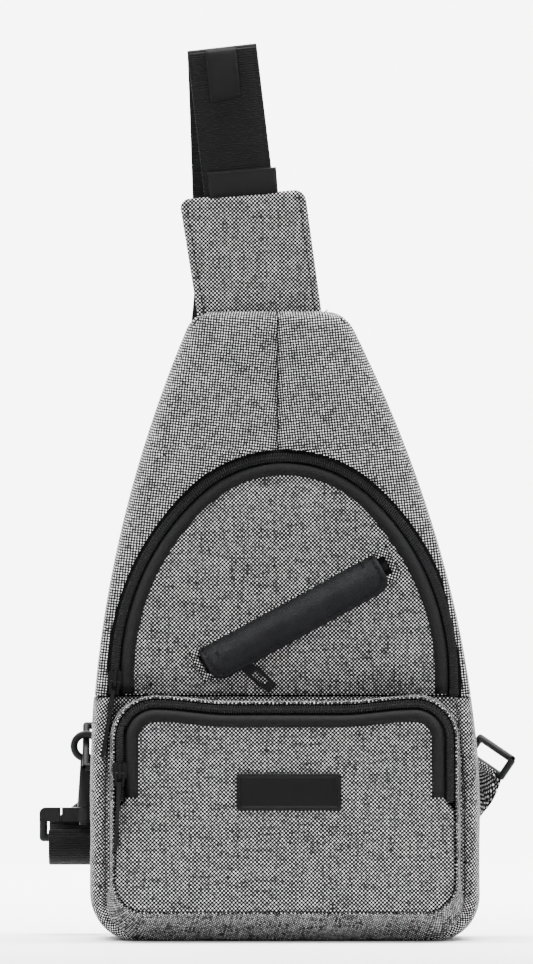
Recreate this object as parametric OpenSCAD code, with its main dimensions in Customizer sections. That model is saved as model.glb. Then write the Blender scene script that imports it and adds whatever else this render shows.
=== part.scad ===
// Sling bag: one-strap crossbody bag in tweed-like fabric with black trim.
// Origin: middle of the base, on the surface it stands on. +Z up, front towards -Y.
// The front of the bag is a leaning plane. on_front() draws on it: x to the right,
// v up along the fabric, n straight out of it.

/* [Bag body] */
// Half of the bag's greatest width
belly_half_w = 104.5; // [98:0.5:110]
// Height at which the sides begin to taper
belly_z = 73; // [60:1:85]
// Height of the bag without strap and tab
bag_h = 340; // [330:1:350]
// How far each side moves in between the belly and the top
taper = 64; // [56:1:68]
// How quickly the taper grows with height
taper_power = 1.95; // [1.9:0.05:2.2]
// How far the top leans to the left
top_shift = 8.5; // [0:0.5:12]
// Radius of the bottom corners
corner_r = 24; // [18:1:28]
// Radius of the top corners
top_r = 9; // [6:1:12]
// Depth of the main compartment at the base
main_d = 60; // [56:1:66]
// Backward lean of the front, degrees
lean = 7; // [5:0.5:7.5]
// Thickness of the padded fabric walls
wall = 2.5; // [2:0.1:3]
// Thickness of the padded back
back_t = 8; // [6:0.5:9]
// Y of the back face
back_y = 40; // [40:1:40]

/* [Main zip] */
// Half width of the arch, at the middle of the chain
arch_half_w = 91.5; // [88:0.5:91.5]
// Rise of the arch above the centres of its side arcs
arch_rise = 119; // [112:1:122]
// Height along the front at which the arch leaves its straight legs
arch_v = 143.6; // [142:0.2:146]
// Distance of the side arcs' centres from the middle
arch_side_c = 45; // [40:1:50]
// Height along the front of the fold line of the front panel
fold_v = 132.8; // [132.6:0.1:134]

/* [Front pocket] */
// How far the pocket stands out of the front
pocket_d = 20; // [16:1:24]
// Half width at the middle of the pocket zip
pocket_half_w = 88.8; // [86:0.2:89]
// Height along the front of the pocket zip's top run
pocket_top = 126.5; // [122:0.5:127]
// Radius of the pocket zip's corners
pocket_corner_r = 19; // [15:1:22]
// Height along the front of the pocket's fold line
pocket_fold_v = 66; // [60:1:67]
// Height along the front of the pocket's lower edge
pocket_low = 14; // [12:1:18]

/* [Slanted pocket] */
// Slope of the flap, degrees
slant = 28.8; // [20:0.2:35]
// Length of the leather flap
flap_len = 109; // [100:1:112]
// Width of the leather flap
flap_w = 20; // [18:0.5:23]

/* [Strap] */
// Width of the webbing
web_w = 38; // [38:1:38]
// Thickness of the webbing
web_t = 1.6; // [1.4:0.1:1.6]
// Height of the fold at the top of the strap
strap_top = 484; // [470:1:490]

/* [Hook and rings] */
// Radius of the rings' rods
rod_r = 2; // [1.8:0.1:2]
// Length of the rings' bars
ring_w = 25.6; // [25:0.2:26]
// Radius of the ring at the hook's nose
nose_ring_r = 6.6; // [6.6:0.1:7]

/* [Hidden] */

$fn = 72;
tweed = [0.52, 0.52, 0.51];
black_fabric = [0.07, 0.07, 0.08];
black_plastic = [0.05, 0.05, 0.055];
black_metal = [0.09, 0.09, 0.1];
leather = [0.1, 0.1, 0.11];
big = 600;                    // reaches past the whole bag in any direction
gap = 0.35;                   // clearance between pieces that move past each other
skin = 0.6;                   // thickness of thin lining cloth

// Front plane
front_y = back_y - main_d;

// Zip sizes
tape_w = 4;                   // tape from the middle of the chain to the outer fabric's edge
panel_edge = 4.5;             // and to the edge of the panel that opens
chain_half_gap = 0.7;         // half the gap between the two rows of the chain
zip_t = 1.5;                  // thickness of tape and chain
binding_w = 6;
binding_t = 1.6;
zip_foot_top = 150;           // the main zip stays closed below this height

// Main arch: a side arc, a top arc and a mirrored side arc, tangent where they meet
arch_x = -0.3;
side_arc_r = arch_half_w + arch_side_c;
arc_excess = side_arc_r - arch_rise;
top_arc_c = (arch_side_c ^ 2 - arc_excess ^ 2) / (2 * arc_excess);
top_arc_r = arch_rise - top_arc_c;
split_angle = atan2(top_arc_c, arch_side_c);

// Pocket
pocket_wall_in = 3.5;         // inner face of the pocket's gusset, from the chain's middle
pocket_wall_out = 5.5;
pocket_low_r = 16;
pocket_stub_top = 113.6;      // the pocket zip stays closed below this height on the left

// Slanted pocket
slant_at = [0.9, 182.6];
slot_s = [-56, 59];
slot_t = [-12.8, -1.8];
slot_mid = (slot_t[0] + slot_t[1]) / 2;
slant_zip_n = -1.3;           // top of the slanted pocket's zip tape
flap_n = 3.5;                 // underside of the flap
flap_t = 1.7;

// Zip sliders
slider_len = 10;
slider_half_w = 4;
plate_t = 1.3;
crossbar_n = 2.45;            // height of the puller's crossbar above the zip
crossbar_s = -1.5;
main_slider_v = 141.5;
pocket_slider_v = 90;
slant_slider_s = -43.5;
slant_puller_turn = 21.2;
slant_hang_s = 3.4;            // the slanted puller hangs round the slider's right post
slant_puller_len = 33;
main_puller_turn = 9;            // how far each puller hangs to the left
pocket_puller_turn = 3;

// Strap
yoke_seam_x = -4;
tab_y = [27, 33];
tab_corners = [[-47.5, bag_h], [20.2, bag_h], [10.8, 406.5], [-57.5, 401]];
strap_slope = 36 / 437;       // how far the hanging strap moves back per unit of height
strap_back_y = 36;            // y of the strap's rear run at the fold
strap_tilt = atan(strap_slope);
strap_y0 = strap_back_y + strap_top * strap_slope;
strap_knee = [-30, 337];
strap_hip = [-84, 90];
strap_low = [-110, 50];
strap_angle = atan2(strap_knee[0] - strap_hip[0], strap_knee[1] - strap_hip[1]);
fold_lean = 6.4;
fold_r = 3.3;
fold_x = -34;
web_gap = 0.2;                // hairline between the stretches of webbing
adjuster_down = 60;           // from the strap's knee to the adjuster
strap_step_h = 20;            // height over which the strap steps over to the hook

// Hook
hook_x = -108.5;
hook_y = 52;
nose_z = 103;
nose_rod_r = 2;
hub_z = [62, 69.6];
hub_r = 3.2;
base_half_w = 25.5;
bar_z = 53.2;
bar_r = 2.2;
stem_r = 2.5;
gate_pivot = [4.9, 88];       // from the hook's axis, and height
gate_tip = [6.6, 102];
gate_pin_r = 1.2;
running = 0.06;               // radial clearance of pins that turn

// Rings
ring_h = 13;                  // between the middles of a left ring's bars
right_ring_h = 11;
ring_left_turn = 48;
ring_right_at = [109.2, 42, 92.8];
ring_right_elevation = 56.4;
ring_right_turn = 43.5;
sleeve_r = 3.3;
strip_t = 2;

// ---- frames ----

module on_front() {
    translate([0, front_y, 0]) rotate([90 - lean, 0, 0]) children();
}

module on_slant() {
    on_front() translate([slant_at[0], slant_at[1], 0]) rotate([0, 0, slant]) children();
}

module on_strap() {
    translate([0, strap_y0, 0]) rotate([90 + strap_tilt, 0, 0]) children();
}

module along_y(y0, y1) {
    translate([0, y1, 0]) rotate([90, 0, 0]) linear_extrude(y1 - y0) children();
}

module from_n(n0, n1) {
    translate([0, 0, n0]) linear_extrude(n1 - n0) children();
}

// ---- outlines ----

function half_w(z) =
    belly_half_w - (z < belly_z ? 0 : taper * ((z - belly_z) / (bag_h - belly_z)) ^ taper_power);

function middle_x(z) = z < belly_z ? 0 : -top_shift * ((z - belly_z) / (bag_h - belly_z)) ^ 1.3;

function right_edge(inset) = concat(
    [for (a = [-90 : 15 : 0])
        [belly_half_w - corner_r + (corner_r - inset) * cos(a), corner_r + (corner_r - inset) * sin(a)]],
    [for (k = [0 : 10])
        let (z = belly_z + k * (bag_h - top_r - belly_z) / 10)
        [half_w(z) - inset, z]],
    [for (a = [30 : 30 : 90])
        [half_w(bag_h - top_r) - top_r + (top_r - inset) * cos(a),
         bag_h - top_r + (top_r - inset) * sin(a)]]
);

module outline(inset) {
    edge = right_edge(inset);
    last = len(edge) - 1;
    polygon(concat(
        [for (p = edge) [middle_x(p[1]) + p[0], p[1]]],
        [for (i = [last : -1 : 0]) [middle_x(edge[i][1]) - edge[i][0], edge[i][1]]]
    ));
}

function arc(centre, r, from, to) =
    let (steps = ceil(abs(to - from) / 4))
    [for (i = [0 : steps]) let (a = from + (to - from) * i / steps) centre + r * [cos(a), sin(a)]];

// Everything inside the main zip's arch, grown outwards from the middle of the chain
module arch_region(grow) {
    half = arch_half_w + grow;
    leg = arch_v - fold_v + 20;
    translate([arch_x, arch_v]) polygon(concat(
        [[half, -leg]],
        arc([-arch_side_c, 0], side_arc_r + grow, 0, split_angle),
        arc([0, top_arc_c], top_arc_r + grow, split_angle + 2, 178 - split_angle),
        arc([arch_side_c, 0], side_arc_r + grow, 180 - split_angle, 180),
        [[-half, -leg]]
    ));
}

module arch_band(outer, inner, low, high) {
    intersection() {
        difference() {
            arch_region(outer);
            arch_region(inner);
        }
        translate([-big, low]) square([2 * big, high - low]);
    }
}

// The pocket's face, grown outwards from the middle of its zip
module pocket_region(grow) {
    half = pocket_half_w + grow;
    top = pocket_top + grow;
    high_r = pocket_corner_r + grow;
    for (side = [-1, 1]) {
        translate([side * (half - high_r), top - high_r]) circle(high_r);
        translate([side * (half - pocket_low_r), pocket_low + pocket_low_r]) circle(pocket_low_r);
    }
    translate([-half, pocket_low + pocket_low_r])
        square([2 * half, top - high_r - pocket_low - pocket_low_r]);
    translate([-(half - high_r), pocket_low]) square([2 * (half - high_r), top - pocket_low]);
    translate([-(half - pocket_low_r), pocket_low])
        square([2 * (half - pocket_low_r), pocket_low_r + 1]);
}

module pocket_band(outer, inner, low, high) {
    intersection() {
        difference() {
            pocket_region(outer);
            pocket_region(inner);
        }
        translate([-big, low]) square([2 * big, high - low]);
    }
}

// ---- half spaces and walls ----

module below_seam() {
    on_front() translate([-big, -big, -big]) cube([2 * big, big + fold_v, 2 * big]);
}

module front_slab() {
    intersection() {
        along_y(front_y - main_d, back_y - back_t) outline(0);
        on_front() translate([-big, -big, -wall]) cube([2 * big, 2 * big, wall]);
    }
}

// The wall that runs round the bag's outline, behind the front
module side_wall(outer, inner) {
    difference() {
        along_y(front_y - main_d, back_y - back_t) outline(outer);
        along_y(front_y - main_d - 1, back_y) outline(inner);
        on_front() translate([-big, -big, -wall]) cube([2 * big, 2 * big, big]);
    }
}

// ---- bag body ----

module back_panel() {
    color(tweed) along_y(back_y - back_t, back_y) outline(0);
}

module back_mesh_pad() {
    inset = 30;
    heights = [for (z = [22 : 27.8 : 300]) z];
    last = len(heights) - 1;
    color(black_fabric) along_y(back_y, back_y + 4) polygon(concat(
        [for (z = heights) [middle_x(z) + half_w(z) - inset, z]],
        [for (i = [last : -1 : 0]) [middle_x(heights[i]) - half_w(heights[i]) + inset, heights[i]]]
    ));
}

module lower_gusset() {
    color(tweed) intersection() {
        side_wall(0, wall);
        below_seam();
    }
}

module lower_front() {
    color(tweed) intersection() {
        front_slab();
        below_seam();
    }
}

module yoke(side) {
    color(tweed) difference() {
        union() {
            front_slab();
            side_wall(0, wall);
        }
        below_seam();
        on_front() from_n(-wall - 1, 1) arch_region(tape_w);
        translate([yoke_seam_x + (side > 0 ? -big : 0), -big, 0]) cube([big, 2 * big, big]);
    }
}

module yoke_left() {
    yoke(-1);
}

module yoke_right() {
    yoke(1);
}

module yoke_seam_tape() {
    color(black_fabric) on_front()
        translate([yoke_seam_x - 5, arch_v + arch_rise + tape_w + 3, -wall - skin]) cube([10, 62, skin]);
}

module lining() {
    hem = 0.3;
    color(black_fabric) {
        difference() {
            side_wall(wall + hem, wall + hem + skin);
            on_front() translate([-big, 0, -wall - hem]) cube([2 * big, big, big]);
            along_y(back_y - back_t - hem, back_y) outline(0);
        }
    }
}

module base_board() {
    color(black_plastic) translate([-78, front_y + 6, wall + 1.1]) cube([156, main_d - back_t - 8, 2]);
}

// ---- main zip and front panel ----

module main_zip_outer() {
    color(black_fabric) on_front() {
        from_n(-zip_t - 0.1, -0.1) {
            arch_band(tape_w, chain_half_gap, fold_v, big);
            arch_band(-chain_half_gap, gap - panel_edge, fold_v, zip_foot_top - gap);
        }
    }
}

module main_zip_stop() {
    color(black_metal) on_front()
        translate([arch_x + arch_half_w - 2.4, fold_v + 1, -0.1]) cube([4.8, 2, 0.9]);
}

module front_panel() {
    color(tweed) on_front() from_n(-wall, 0) difference() {
        intersection() {
            arch_region(-panel_edge);
            translate([-big, fold_v + gap]) square([2 * big, big]);
        }
        translate(slant_at) rotate(slant) translate([slot_s[0], slot_t[0]])
            square([slot_s[1] - slot_s[0], slot_t[1] - slot_t[0]]);
    }
}

module front_binding() {
    color(black_fabric) on_front() from_n(0, binding_t)
        arch_band(-panel_edge, -panel_edge - binding_w, fold_v + gap, big);
}

module main_zip_inner() {
    color(black_fabric) on_front() from_n(-zip_t - 0.1, -0.1)
        arch_band(-chain_half_gap, -panel_edge, zip_foot_top, big);
}

// ---- zip sliders and pullers: s runs along the zip, n out of it ----

module slider_shape() {
    nose = slider_half_w - 1.4;
    polygon([
        [-nose, -slider_len / 2], [nose, -slider_len / 2],
        [slider_half_w, -slider_len / 2 + 3], [slider_half_w, slider_len / 2 - 1.6],
        [nose, slider_len / 2], [1, slider_len / 2 - 1.4], [-1, slider_len / 2 - 1.4],
        [-nose, slider_len / 2], [-slider_half_w, slider_len / 2 - 1.6],
        [-slider_half_w, -slider_len / 2 + 3]
    ]);
}

module zip_slider() {
    bail_low = gap + plate_t;
    bail_gap = 1.6;
    color(black_metal) {
        from_n(gap, bail_low) slider_shape();
        translate([-0.3, -slider_len / 2 + 1, -zip_t]) cube([0.6, 3, zip_t + gap + 0.2]);
        for (end = [-1, 1])
            translate([-0.8, end * 3.4 - 0.6, bail_low - 0.1]) cube([1.6, 1.2, bail_gap + 0.4]);
        translate([-0.8, 4, bail_low + bail_gap + 0.5]) rotate([90, 0, 0]) linear_extrude(8)
            polygon([[0, -0.5], [1.6, -0.5], [1.3, 0.6], [0.3, 0.6]]);
    }
}

module puller_eye() {
    arm_in = 1.5;
    translate([-arm_in - 1.2, 0, 0]) rotate([0, 90, 0]) cylinder(h = 2 * arm_in + 2.4, r = 0.5);
    for (side = [-1, 1])
        translate([side * (arm_in + 0.6) - 0.6, -5.6, -0.5]) cube([1.2, 5.6, 1]);
    translate([-arm_in - 1.2, -6.6, -0.5]) cube([2 * arm_in + 2.4, 1.6, 1]);
}

module puller_plate(length, width, t) {
    slot_w = width * 0.42;
    difference() {
        translate([-width / 2, -length, -t / 2]) cube([width, length - 5, t]);
        translate([-slot_w / 2, -length + 4, -t]) cube([slot_w, length * 0.28, 2 * t]);
    }
}

// A puller seen edge-on: its plate stands on its long side
module edge_puller(length) {
    width = 9;
    color(black_metal) {
        puller_eye();
        translate([0, 0, width / 2 - crossbar_n + 0.5]) rotate([0, 90, 0]) puller_plate(length, width, 2);
    }
}

module flat_puller(length, width) {
    color(black_metal) {
        puller_eye();
        puller_plate(length, width, 1);
    }
}

module main_slider() {
    on_front() translate([arch_x - arch_half_w, main_slider_v, -0.1]) zip_slider();
}

module main_puller() {
    on_front() translate([arch_x - arch_half_w, main_slider_v + crossbar_s, crossbar_n])
        rotate([0, 0, -main_puller_turn]) edge_puller(42);
}

// ---- front pocket ----

module pocket_gusset() {
    color(tweed) on_front() from_n(0, pocket_d) difference() {
        pocket_region(pocket_wall_out);
        pocket_region(pocket_wall_in);
    }
}

module pocket_panel_lower() {
    color(tweed) on_front() from_n(pocket_d - wall, pocket_d) intersection() {
        pocket_region(pocket_wall_in);
        translate([-big, 0]) square([2 * big, pocket_fold_v]);
    }
}

module pocket_zip_outer() {
    color(black_fabric) on_front() from_n(pocket_d - zip_t - 0.1, pocket_d - 0.1) {
        pocket_band(pocket_wall_in, chain_half_gap, pocket_fold_v, big);
        intersection() {
            pocket_band(-chain_half_gap, gap - panel_edge, pocket_fold_v, pocket_stub_top);
            translate([-big, 0]) square([big, big]);
        }
    }
}

module pocket_panel() {
    color(tweed) on_front() from_n(pocket_d - wall, pocket_d) intersection() {
        pocket_region(-panel_edge);
        translate([-big, pocket_fold_v + gap]) square([2 * big, big]);
    }
}

module pocket_binding() {
    color(black_fabric) on_front() from_n(pocket_d, pocket_d + binding_t)
        pocket_band(-panel_edge, -panel_edge - binding_w, pocket_fold_v + 10, big);
}

module pocket_zip_inner() {
    color(black_fabric) on_front() from_n(pocket_d - zip_t - 0.1, pocket_d - 0.1) difference() {
        pocket_band(-chain_half_gap, -panel_edge, pocket_fold_v + gap, big);
        translate([-big, 0]) square([big, pocket_stub_top + gap]);
    }
}

module pocket_slider() {
    on_front() translate([-pocket_half_w, pocket_slider_v, pocket_d - 0.1]) zip_slider();
}

module pocket_puller() {
    on_front() translate([-pocket_half_w, pocket_slider_v + crossbar_s, pocket_d + crossbar_n])
        rotate([0, 0, -pocket_puller_turn]) edge_puller(42);
}

module rubber_patch() {
    patch = [56, 20];
    color(black_plastic) on_front() translate([2 - patch[0] / 2, 68.6, pocket_d]) difference() {
        cube([patch[0], patch[1], 2.2]);
        translate([1.6, 1.6, 1.5]) cube([patch[0] - 3.2, patch[1] - 3.2, 2]);
    }
}

// ---- slanted pocket ----

module slant_welt() {
    color(tweed) on_slant() from_n(0, 0.3) difference() {
        translate([slot_s[0] - 3.5, slot_t[0] - 3.5])
            square([slot_s[1] - slot_s[0] + 7, slot_t[1] - slot_t[0] + 4.5]);
        translate([slot_s[0], slot_t[0]]) square([slot_s[1] - slot_s[0], slot_t[1] - slot_t[0]]);
    }
}

module slant_zip() {
    half = (slot_t[1] - slot_t[0]) / 2 - chain_half_gap;
    color(black_fabric) on_slant() from_n(slant_zip_n - zip_t + 0.3, slant_zip_n) {
        for (t = [slot_t[0], slot_mid + chain_half_gap])
            translate([slot_s[0], t]) square([slot_s[1] - slot_s[0], half]);
    }
}

module slant_slider() {
    on_slant() translate([slant_slider_s, slot_mid, slant_zip_n]) rotate([0, 0, -90]) zip_slider();
}

module slant_puller() {
    on_slant() translate([slant_slider_s + slant_hang_s, slot_mid, slant_zip_n + crossbar_n])
        rotate([0, 0, slant_puller_turn]) translate([0, 1.7, 0]) flat_puller(slant_puller_len, 7);
}

module slant_pocket_bag() {
    bag_x = 58;
    bag_v = [145, 214];
    depth = 13;
    color(black_fabric) on_front() difference() {
        translate([-bag_x, bag_v[0], -wall - depth - skin])
            cube([2 * bag_x, bag_v[1] - bag_v[0], depth + skin]);
        translate([-bag_x + skin, bag_v[0] + skin, -wall - depth])
            cube([2 * (bag_x - skin), bag_v[1] - bag_v[0] - 2 * skin, depth + 1]);
    }
}

module leather_flap() {
    tip_r = 5;
    color(leather) on_slant() {
        from_n(flap_n, flap_n + flap_t) {
            for (side = [-1, 1])
                translate([side * (flap_len / 2 - tip_r), -flap_w + tip_r]) circle(tip_r);
            translate([-flap_len / 2 + tip_r, -flap_w]) square([flap_len - 2 * tip_r, flap_w + 0.6]);
            translate([-flap_len / 2, -flap_w + tip_r]) square([flap_len, flap_w - tip_r + 0.6]);
        }
        translate([-flap_len / 2, -0.6, 1.15]) cube([flap_len, 1.2, flap_n - 0.9]);
    }
}

// ---- strap and tab ----

// Outline of a ribbon of constant width along a path of points
function unit(v) = v / norm(v);
function left_of(v) = [-v[1], v[0]];
function up_strap(p) = [p[0], p[1] / cos(strap_tilt)];
function ribbon_side(path, half) = [
    for (i = [0 : len(path) - 1])
        let (
            before = unit(path[max(i, 1)] - path[max(i, 1) - 1]),
            after = unit(path[min(i + 1, len(path) - 1)] - path[min(i, len(path) - 2)]),
            across = unit(left_of(before) + left_of(after))
        )
        path[i] + across * half / (across * left_of(before))
];

module ribbon(path, width) {
    left = ribbon_side(path, width / 2);
    right = ribbon_side(path, -width / 2);
    polygon(concat(left, [for (i = [len(path) - 1 : -1 : 0]) right[i]]));
}

module strap_tab() {
    color(tweed) along_y(tab_y[0], tab_y[1]) polygon(tab_corners);
}

// Webbing seen from its side: a path in the y-z plane, drawn out along x
module web_profile(length, path) {
    translate([-length / 2, 0, 0]) rotate([90, 0, 90]) linear_extrude(length) ribbon(path, web_t);
}

module strap_front_run(fold_y, fold_z) {
    slope = (tab_corners[2][1] - tab_corners[3][1]) / (tab_corners[2][0] - tab_corners[3][0]);
    edge = [for (x = [-42.7, -3.9]) [x, tab_corners[3][1] + slope * (x - tab_corners[3][0])]];
    rise = sin(fold_lean) * web_w / 2;
    y0 = fold_y - fold_r;
    along_y(y0, y0 + web_t) polygon([
        edge[0], edge[1],
        [fold_x + web_w / 2, fold_z + rise - web_gap], [fold_x - web_w / 2, fold_z - rise - web_gap]
    ]);
}

// Down behind the bag, then a step to the left over to the hook
module strap_rear_run(fold_z) {
    foot = [strap_low[0], strap_low[1] + 10];
    step = [strap_hip[0], foot[1] + strap_step_h];
    path = [[fold_x, fold_z + 6], strap_knee, strap_hip, step];
    half = [web_w / 2, 0];
    on_strap() from_n(0, web_t) difference() {
        union() {
            ribbon([for (p = path) up_strap(p)], web_w);
            polygon([for (p = [step - half, step + half, foot + half, foot - half]) up_strap(p)]);
        }
        translate(up_strap([fold_x, fold_z - 2 * web_gap])) rotate(fold_lean)
            translate([-web_w, 0]) square([2 * web_w, 20]);
    }
}

// Round the hook's bar, down in front of it, and up behind everything
module strap_hook_loop() {
    turn = bar_r + 0.6 + web_t / 2;
    rear_y = strap_y0 - web_t / 2 - strap_low[1] * strap_slope;
    front = hook_y - turn;
    r = (rear_y - front) / 2;
    translate([strap_low[0], 0, 0]) web_profile(web_w, concat(
        [[hook_y + turn, bar_z - 7]],
        arc([hook_y, bar_z], turn, 0, 180),
        arc([front + r, strap_low[1]], r, 180, 360),
        [[rear_y - 9 * strap_slope, strap_low[1] + 9]]
    ));
}

module shoulder_strap() {
    fold_y = strap_back_y - fold_r + web_t / 2;
    fold_z = strap_top - fold_r;
    color(black_fabric) {
        strap_front_run(fold_y, fold_z);
        translate([fold_x, fold_y, fold_z]) rotate([0, -fold_lean, 0])
            web_profile(web_w, arc([0, 0], fold_r - web_t / 2, 0, 180));
        strap_rear_run(fold_z);
        strap_hook_loop();
    }
}

module lower_label() {
    color(black_fabric) along_y(28.6, 29.3)
        polygon([[-41, 402.4], [-3.6, 405.6], [-4.8, 418.6], [-42.2, 415.4]]);
}

module top_label() {
    color(black_fabric) along_y(28.4, 29.3)
        polygon([[-43.4, 482], [-26.6, 483.6], [-24, 457], [-40.6, 453.4]]);
}

module strap_adjuster() {
    rail_in = web_w / 2 + 0.7;
    rail_w = 4;
    half_len = 15;
    bar_w = 5;
    bar_t = 3;
    color(black_plastic) on_strap() translate(up_strap(strap_knee))
        rotate([0, 0, -strap_angle]) translate([0, -adjuster_down, 0]) {
            for (side = [-1, 1])
                translate([side > 0 ? rail_in : -rail_in - rail_w, -half_len, -bar_t - 0.4])
                    cube([rail_w, 2 * half_len, 2 * bar_t + web_t + 0.8]);
            for (end = [-1, 1])
                translate([-rail_in - 1, end * (half_len - bar_w / 2) - bar_w / 2, web_t + 0.4])
                    cube([2 * rail_in + 2, bar_w, bar_t]);
            translate([-rail_in - 1, -bar_w / 2, -bar_t - 0.4]) cube([2 * rail_in + 2, bar_w, bar_t]);
        }
}

// ---- hook ----

module at_hook() {
    translate([hook_x, hook_y, 0]) children();
}

// The base's wide crosspiece seen from the front, with rounded upper corners
module hub_face() {
    inner = base_half_w - hub_r;
    for (side = [-1, 1])
        translate([side * inner, hub_z[1] - hub_r]) circle(hub_r);
    translate([-inner, hub_z[0]]) square([2 * inner, hub_z[1] - hub_z[0]]);
    translate([-base_half_w, hub_z[0]]) square([2 * base_half_w, hub_z[1] - hub_z[0] - hub_r]);
}

module hook_base() {
    color(black_plastic) at_hook() difference() {
        union() {
            along_y(-2.6, 2.6) hub_face();
            translate([0, 0, hub_z[0]]) cylinder(h = hub_z[1] - hub_z[0], r = 5.4);
            for (side = [-1, 1])
                translate([side * (base_half_w - bar_r), 0, bar_z]) {
                    cylinder(h = hub_z[0] - bar_z + 1, r = bar_r);
                    sphere(bar_r);
                }
            translate([-base_half_w + bar_r, 0, bar_z]) rotate([0, 90, 0])
                cylinder(h = 2 * (base_half_w - bar_r), r = bar_r);
        }
        translate([0, 0, hub_z[0] - 1]) cylinder(h = hub_z[1] - hub_z[0] + 2, r = stem_r + running);
        translate([-14, -5, hub_z[0] - 1]) cube([0.8, 10, hub_z[1] - hub_z[0] + 2]);
    }
}

module hook_body() {
    ear_in = 1.9;
    ear_t = 1.2;
    color(black_plastic) at_hook() {
        difference() {
            union() {
                translate([0, 0, hub_z[0] - 0.5]) cylinder(h = hub_z[1] - hub_z[0] + 1.4, r = stem_r);
                translate([0, 0, hub_z[0] - 2]) cylinder(h = 1.6, r = 3.8);
                hull() {
                    translate([0, 0, hub_z[1] + 0.4]) cylinder(h = 1, r = 4.8, $fn = 32);
                    translate([-3, -2.6, nose_z - nose_ring_r - 2]) cube([6, 5.2, 2]);
                }
                for (side = [-1, 1])
                    translate([0, side > 0 ? ear_in : -ear_in - ear_t, 0]) {
                        translate([gate_pivot[0], 0, gate_pivot[1]]) rotate([-90, 0, 0])
                            cylinder(h = ear_t, r = 2.3);
                        translate([1, 0, gate_pivot[1] - 2.3]) cube([gate_pivot[0] - 1, ear_t, 4.6]);
                    }
                translate([0, 0, nose_z]) rotate([90, 0, 0]) rotate([0, 0, 14])
                    rotate_extrude(angle = 284) translate([nose_ring_r, 0]) circle(nose_rod_r);
            }
            translate([1.6, -ear_in, gate_pivot[1] - 3.2]) cube([20, 2 * ear_in, 12]);
            translate([gate_pivot[0], -10, gate_pivot[1]]) rotate([-90, 0, 0])
                cylinder(h = 20, r = gate_pin_r);
        }
    }
}

module hook_gate() {
    half = 1.5;
    color(black_plastic) at_hook() difference() {
        hull() {
            translate([gate_pivot[0], -half, gate_pivot[1]]) rotate([-90, 0, 0])
                cylinder(h = 2 * half, r = 2, $fn = 32);
            translate([gate_tip[0], -half, gate_tip[1]]) rotate([-90, 0, 0])
                cylinder(h = 2 * half, r = 1.4, $fn = 32);
        }
        translate([gate_pivot[0], -10, gate_pivot[1]]) rotate([-90, 0, 0])
            cylinder(h = 20, r = gate_pin_r + running);
    }
}

module gate_pin() {
    color(black_metal) at_hook() translate([gate_pivot[0], -3.1, gate_pivot[1]]) rotate([-90, 0, 0])
        cylinder(h = 6.2, r = gate_pin_r);
}

// ---- rings and their tabs: local x away from the tab, y along the bars ----

module ring(h) {
    half = ring_w / 2 + rod_r;
    color(black_plastic) {
        for (x = [0, h])
            translate([x, half, 0]) rotate([90, 0, 0]) cylinder(h = 2 * half, r = rod_r);
        for (side = [-1, 1])
            translate([0, side * half, 0]) {
                rotate([0, 90, 0]) cylinder(h = h, r = rod_r);
                for (x = [0, h])
                    translate([x, 0, 0]) sphere(rod_r);
            }
    }
}

module sleeve(length) {
    difference() {
        rotate([90, 0, 0]) cylinder(h = length, r = sleeve_r, center = true);
        rotate([90, 0, 0]) cylinder(h = length + 2, r = rod_r + running, center = true);
    }
}

module at_ring_left() {
    translate([hook_x, hook_y, nose_z]) rotate([ring_left_turn, 0, 0]) translate([ring_h, 0, 0])
        rotate([0, 180, 0]) children();
}

module at_ring_right() {
    translate(ring_right_at) rotate([0, -ring_right_elevation, 0]) rotate([ring_right_turn, 0, 0])
        children();
}

module ring_left() {
    at_ring_left() ring(ring_h);
}

module ring_right() {
    at_ring_right() ring(right_ring_h);
}

module strip_end() {
    translate([-4.4, -(ring_w - 1.4) / 2, -strip_t / 2]) cube([1.6, ring_w - 1.4, strip_t]);
}

module ring_tab_left() {
    color(tweed) {
        at_ring_left() sleeve(ring_w - 1);
        hull() {
            at_ring_left() strip_end();
            translate([-86, back_y, 88]) cube([10, strip_t, ring_w - 1]);
        }
    }
}

module ring_tab_right() {
    color(tweed) {
        at_ring_right() sleeve(ring_w - 1);
        hull() {
            at_ring_right() strip_end();
            translate([belly_half_w + 0.1, back_y, 64]) cube([1.6, strip_t, ring_w - 1]);
        }
    }
}

back_panel();
back_mesh_pad();
lower_gusset();
lower_front();
yoke_left();
yoke_right();
yoke_seam_tape();
lining();
base_board();
main_zip_outer();
main_zip_stop();
front_panel();
front_binding();
main_zip_inner();
main_slider();
main_puller();
pocket_gusset();
pocket_panel_lower();
pocket_zip_outer();
pocket_panel();
pocket_binding();
pocket_zip_inner();
pocket_slider();
pocket_puller();
rubber_patch();
slant_welt();
slant_zip();
slant_slider();
slant_puller();
slant_pocket_bag();
leather_flap();
strap_tab();
shoulder_strap();
lower_label();
top_label();
strap_adjuster();
hook_base();
hook_body();
hook_gate();
gate_pin();
ring_left();
ring_right();
ring_tab_left();
ring_tab_right();
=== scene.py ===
"""Sling bag in black and white tweed with black trim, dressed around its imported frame.

Every shape is worked out in millimetres and turned into metres as its mesh is made.
"""

import random
from contextlib import contextmanager
from math import atan2, cos, degrees, pi, radians, sin, sqrt, tan

import bmesh
import bpy
from mathutils import Matrix, Vector, noise


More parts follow.
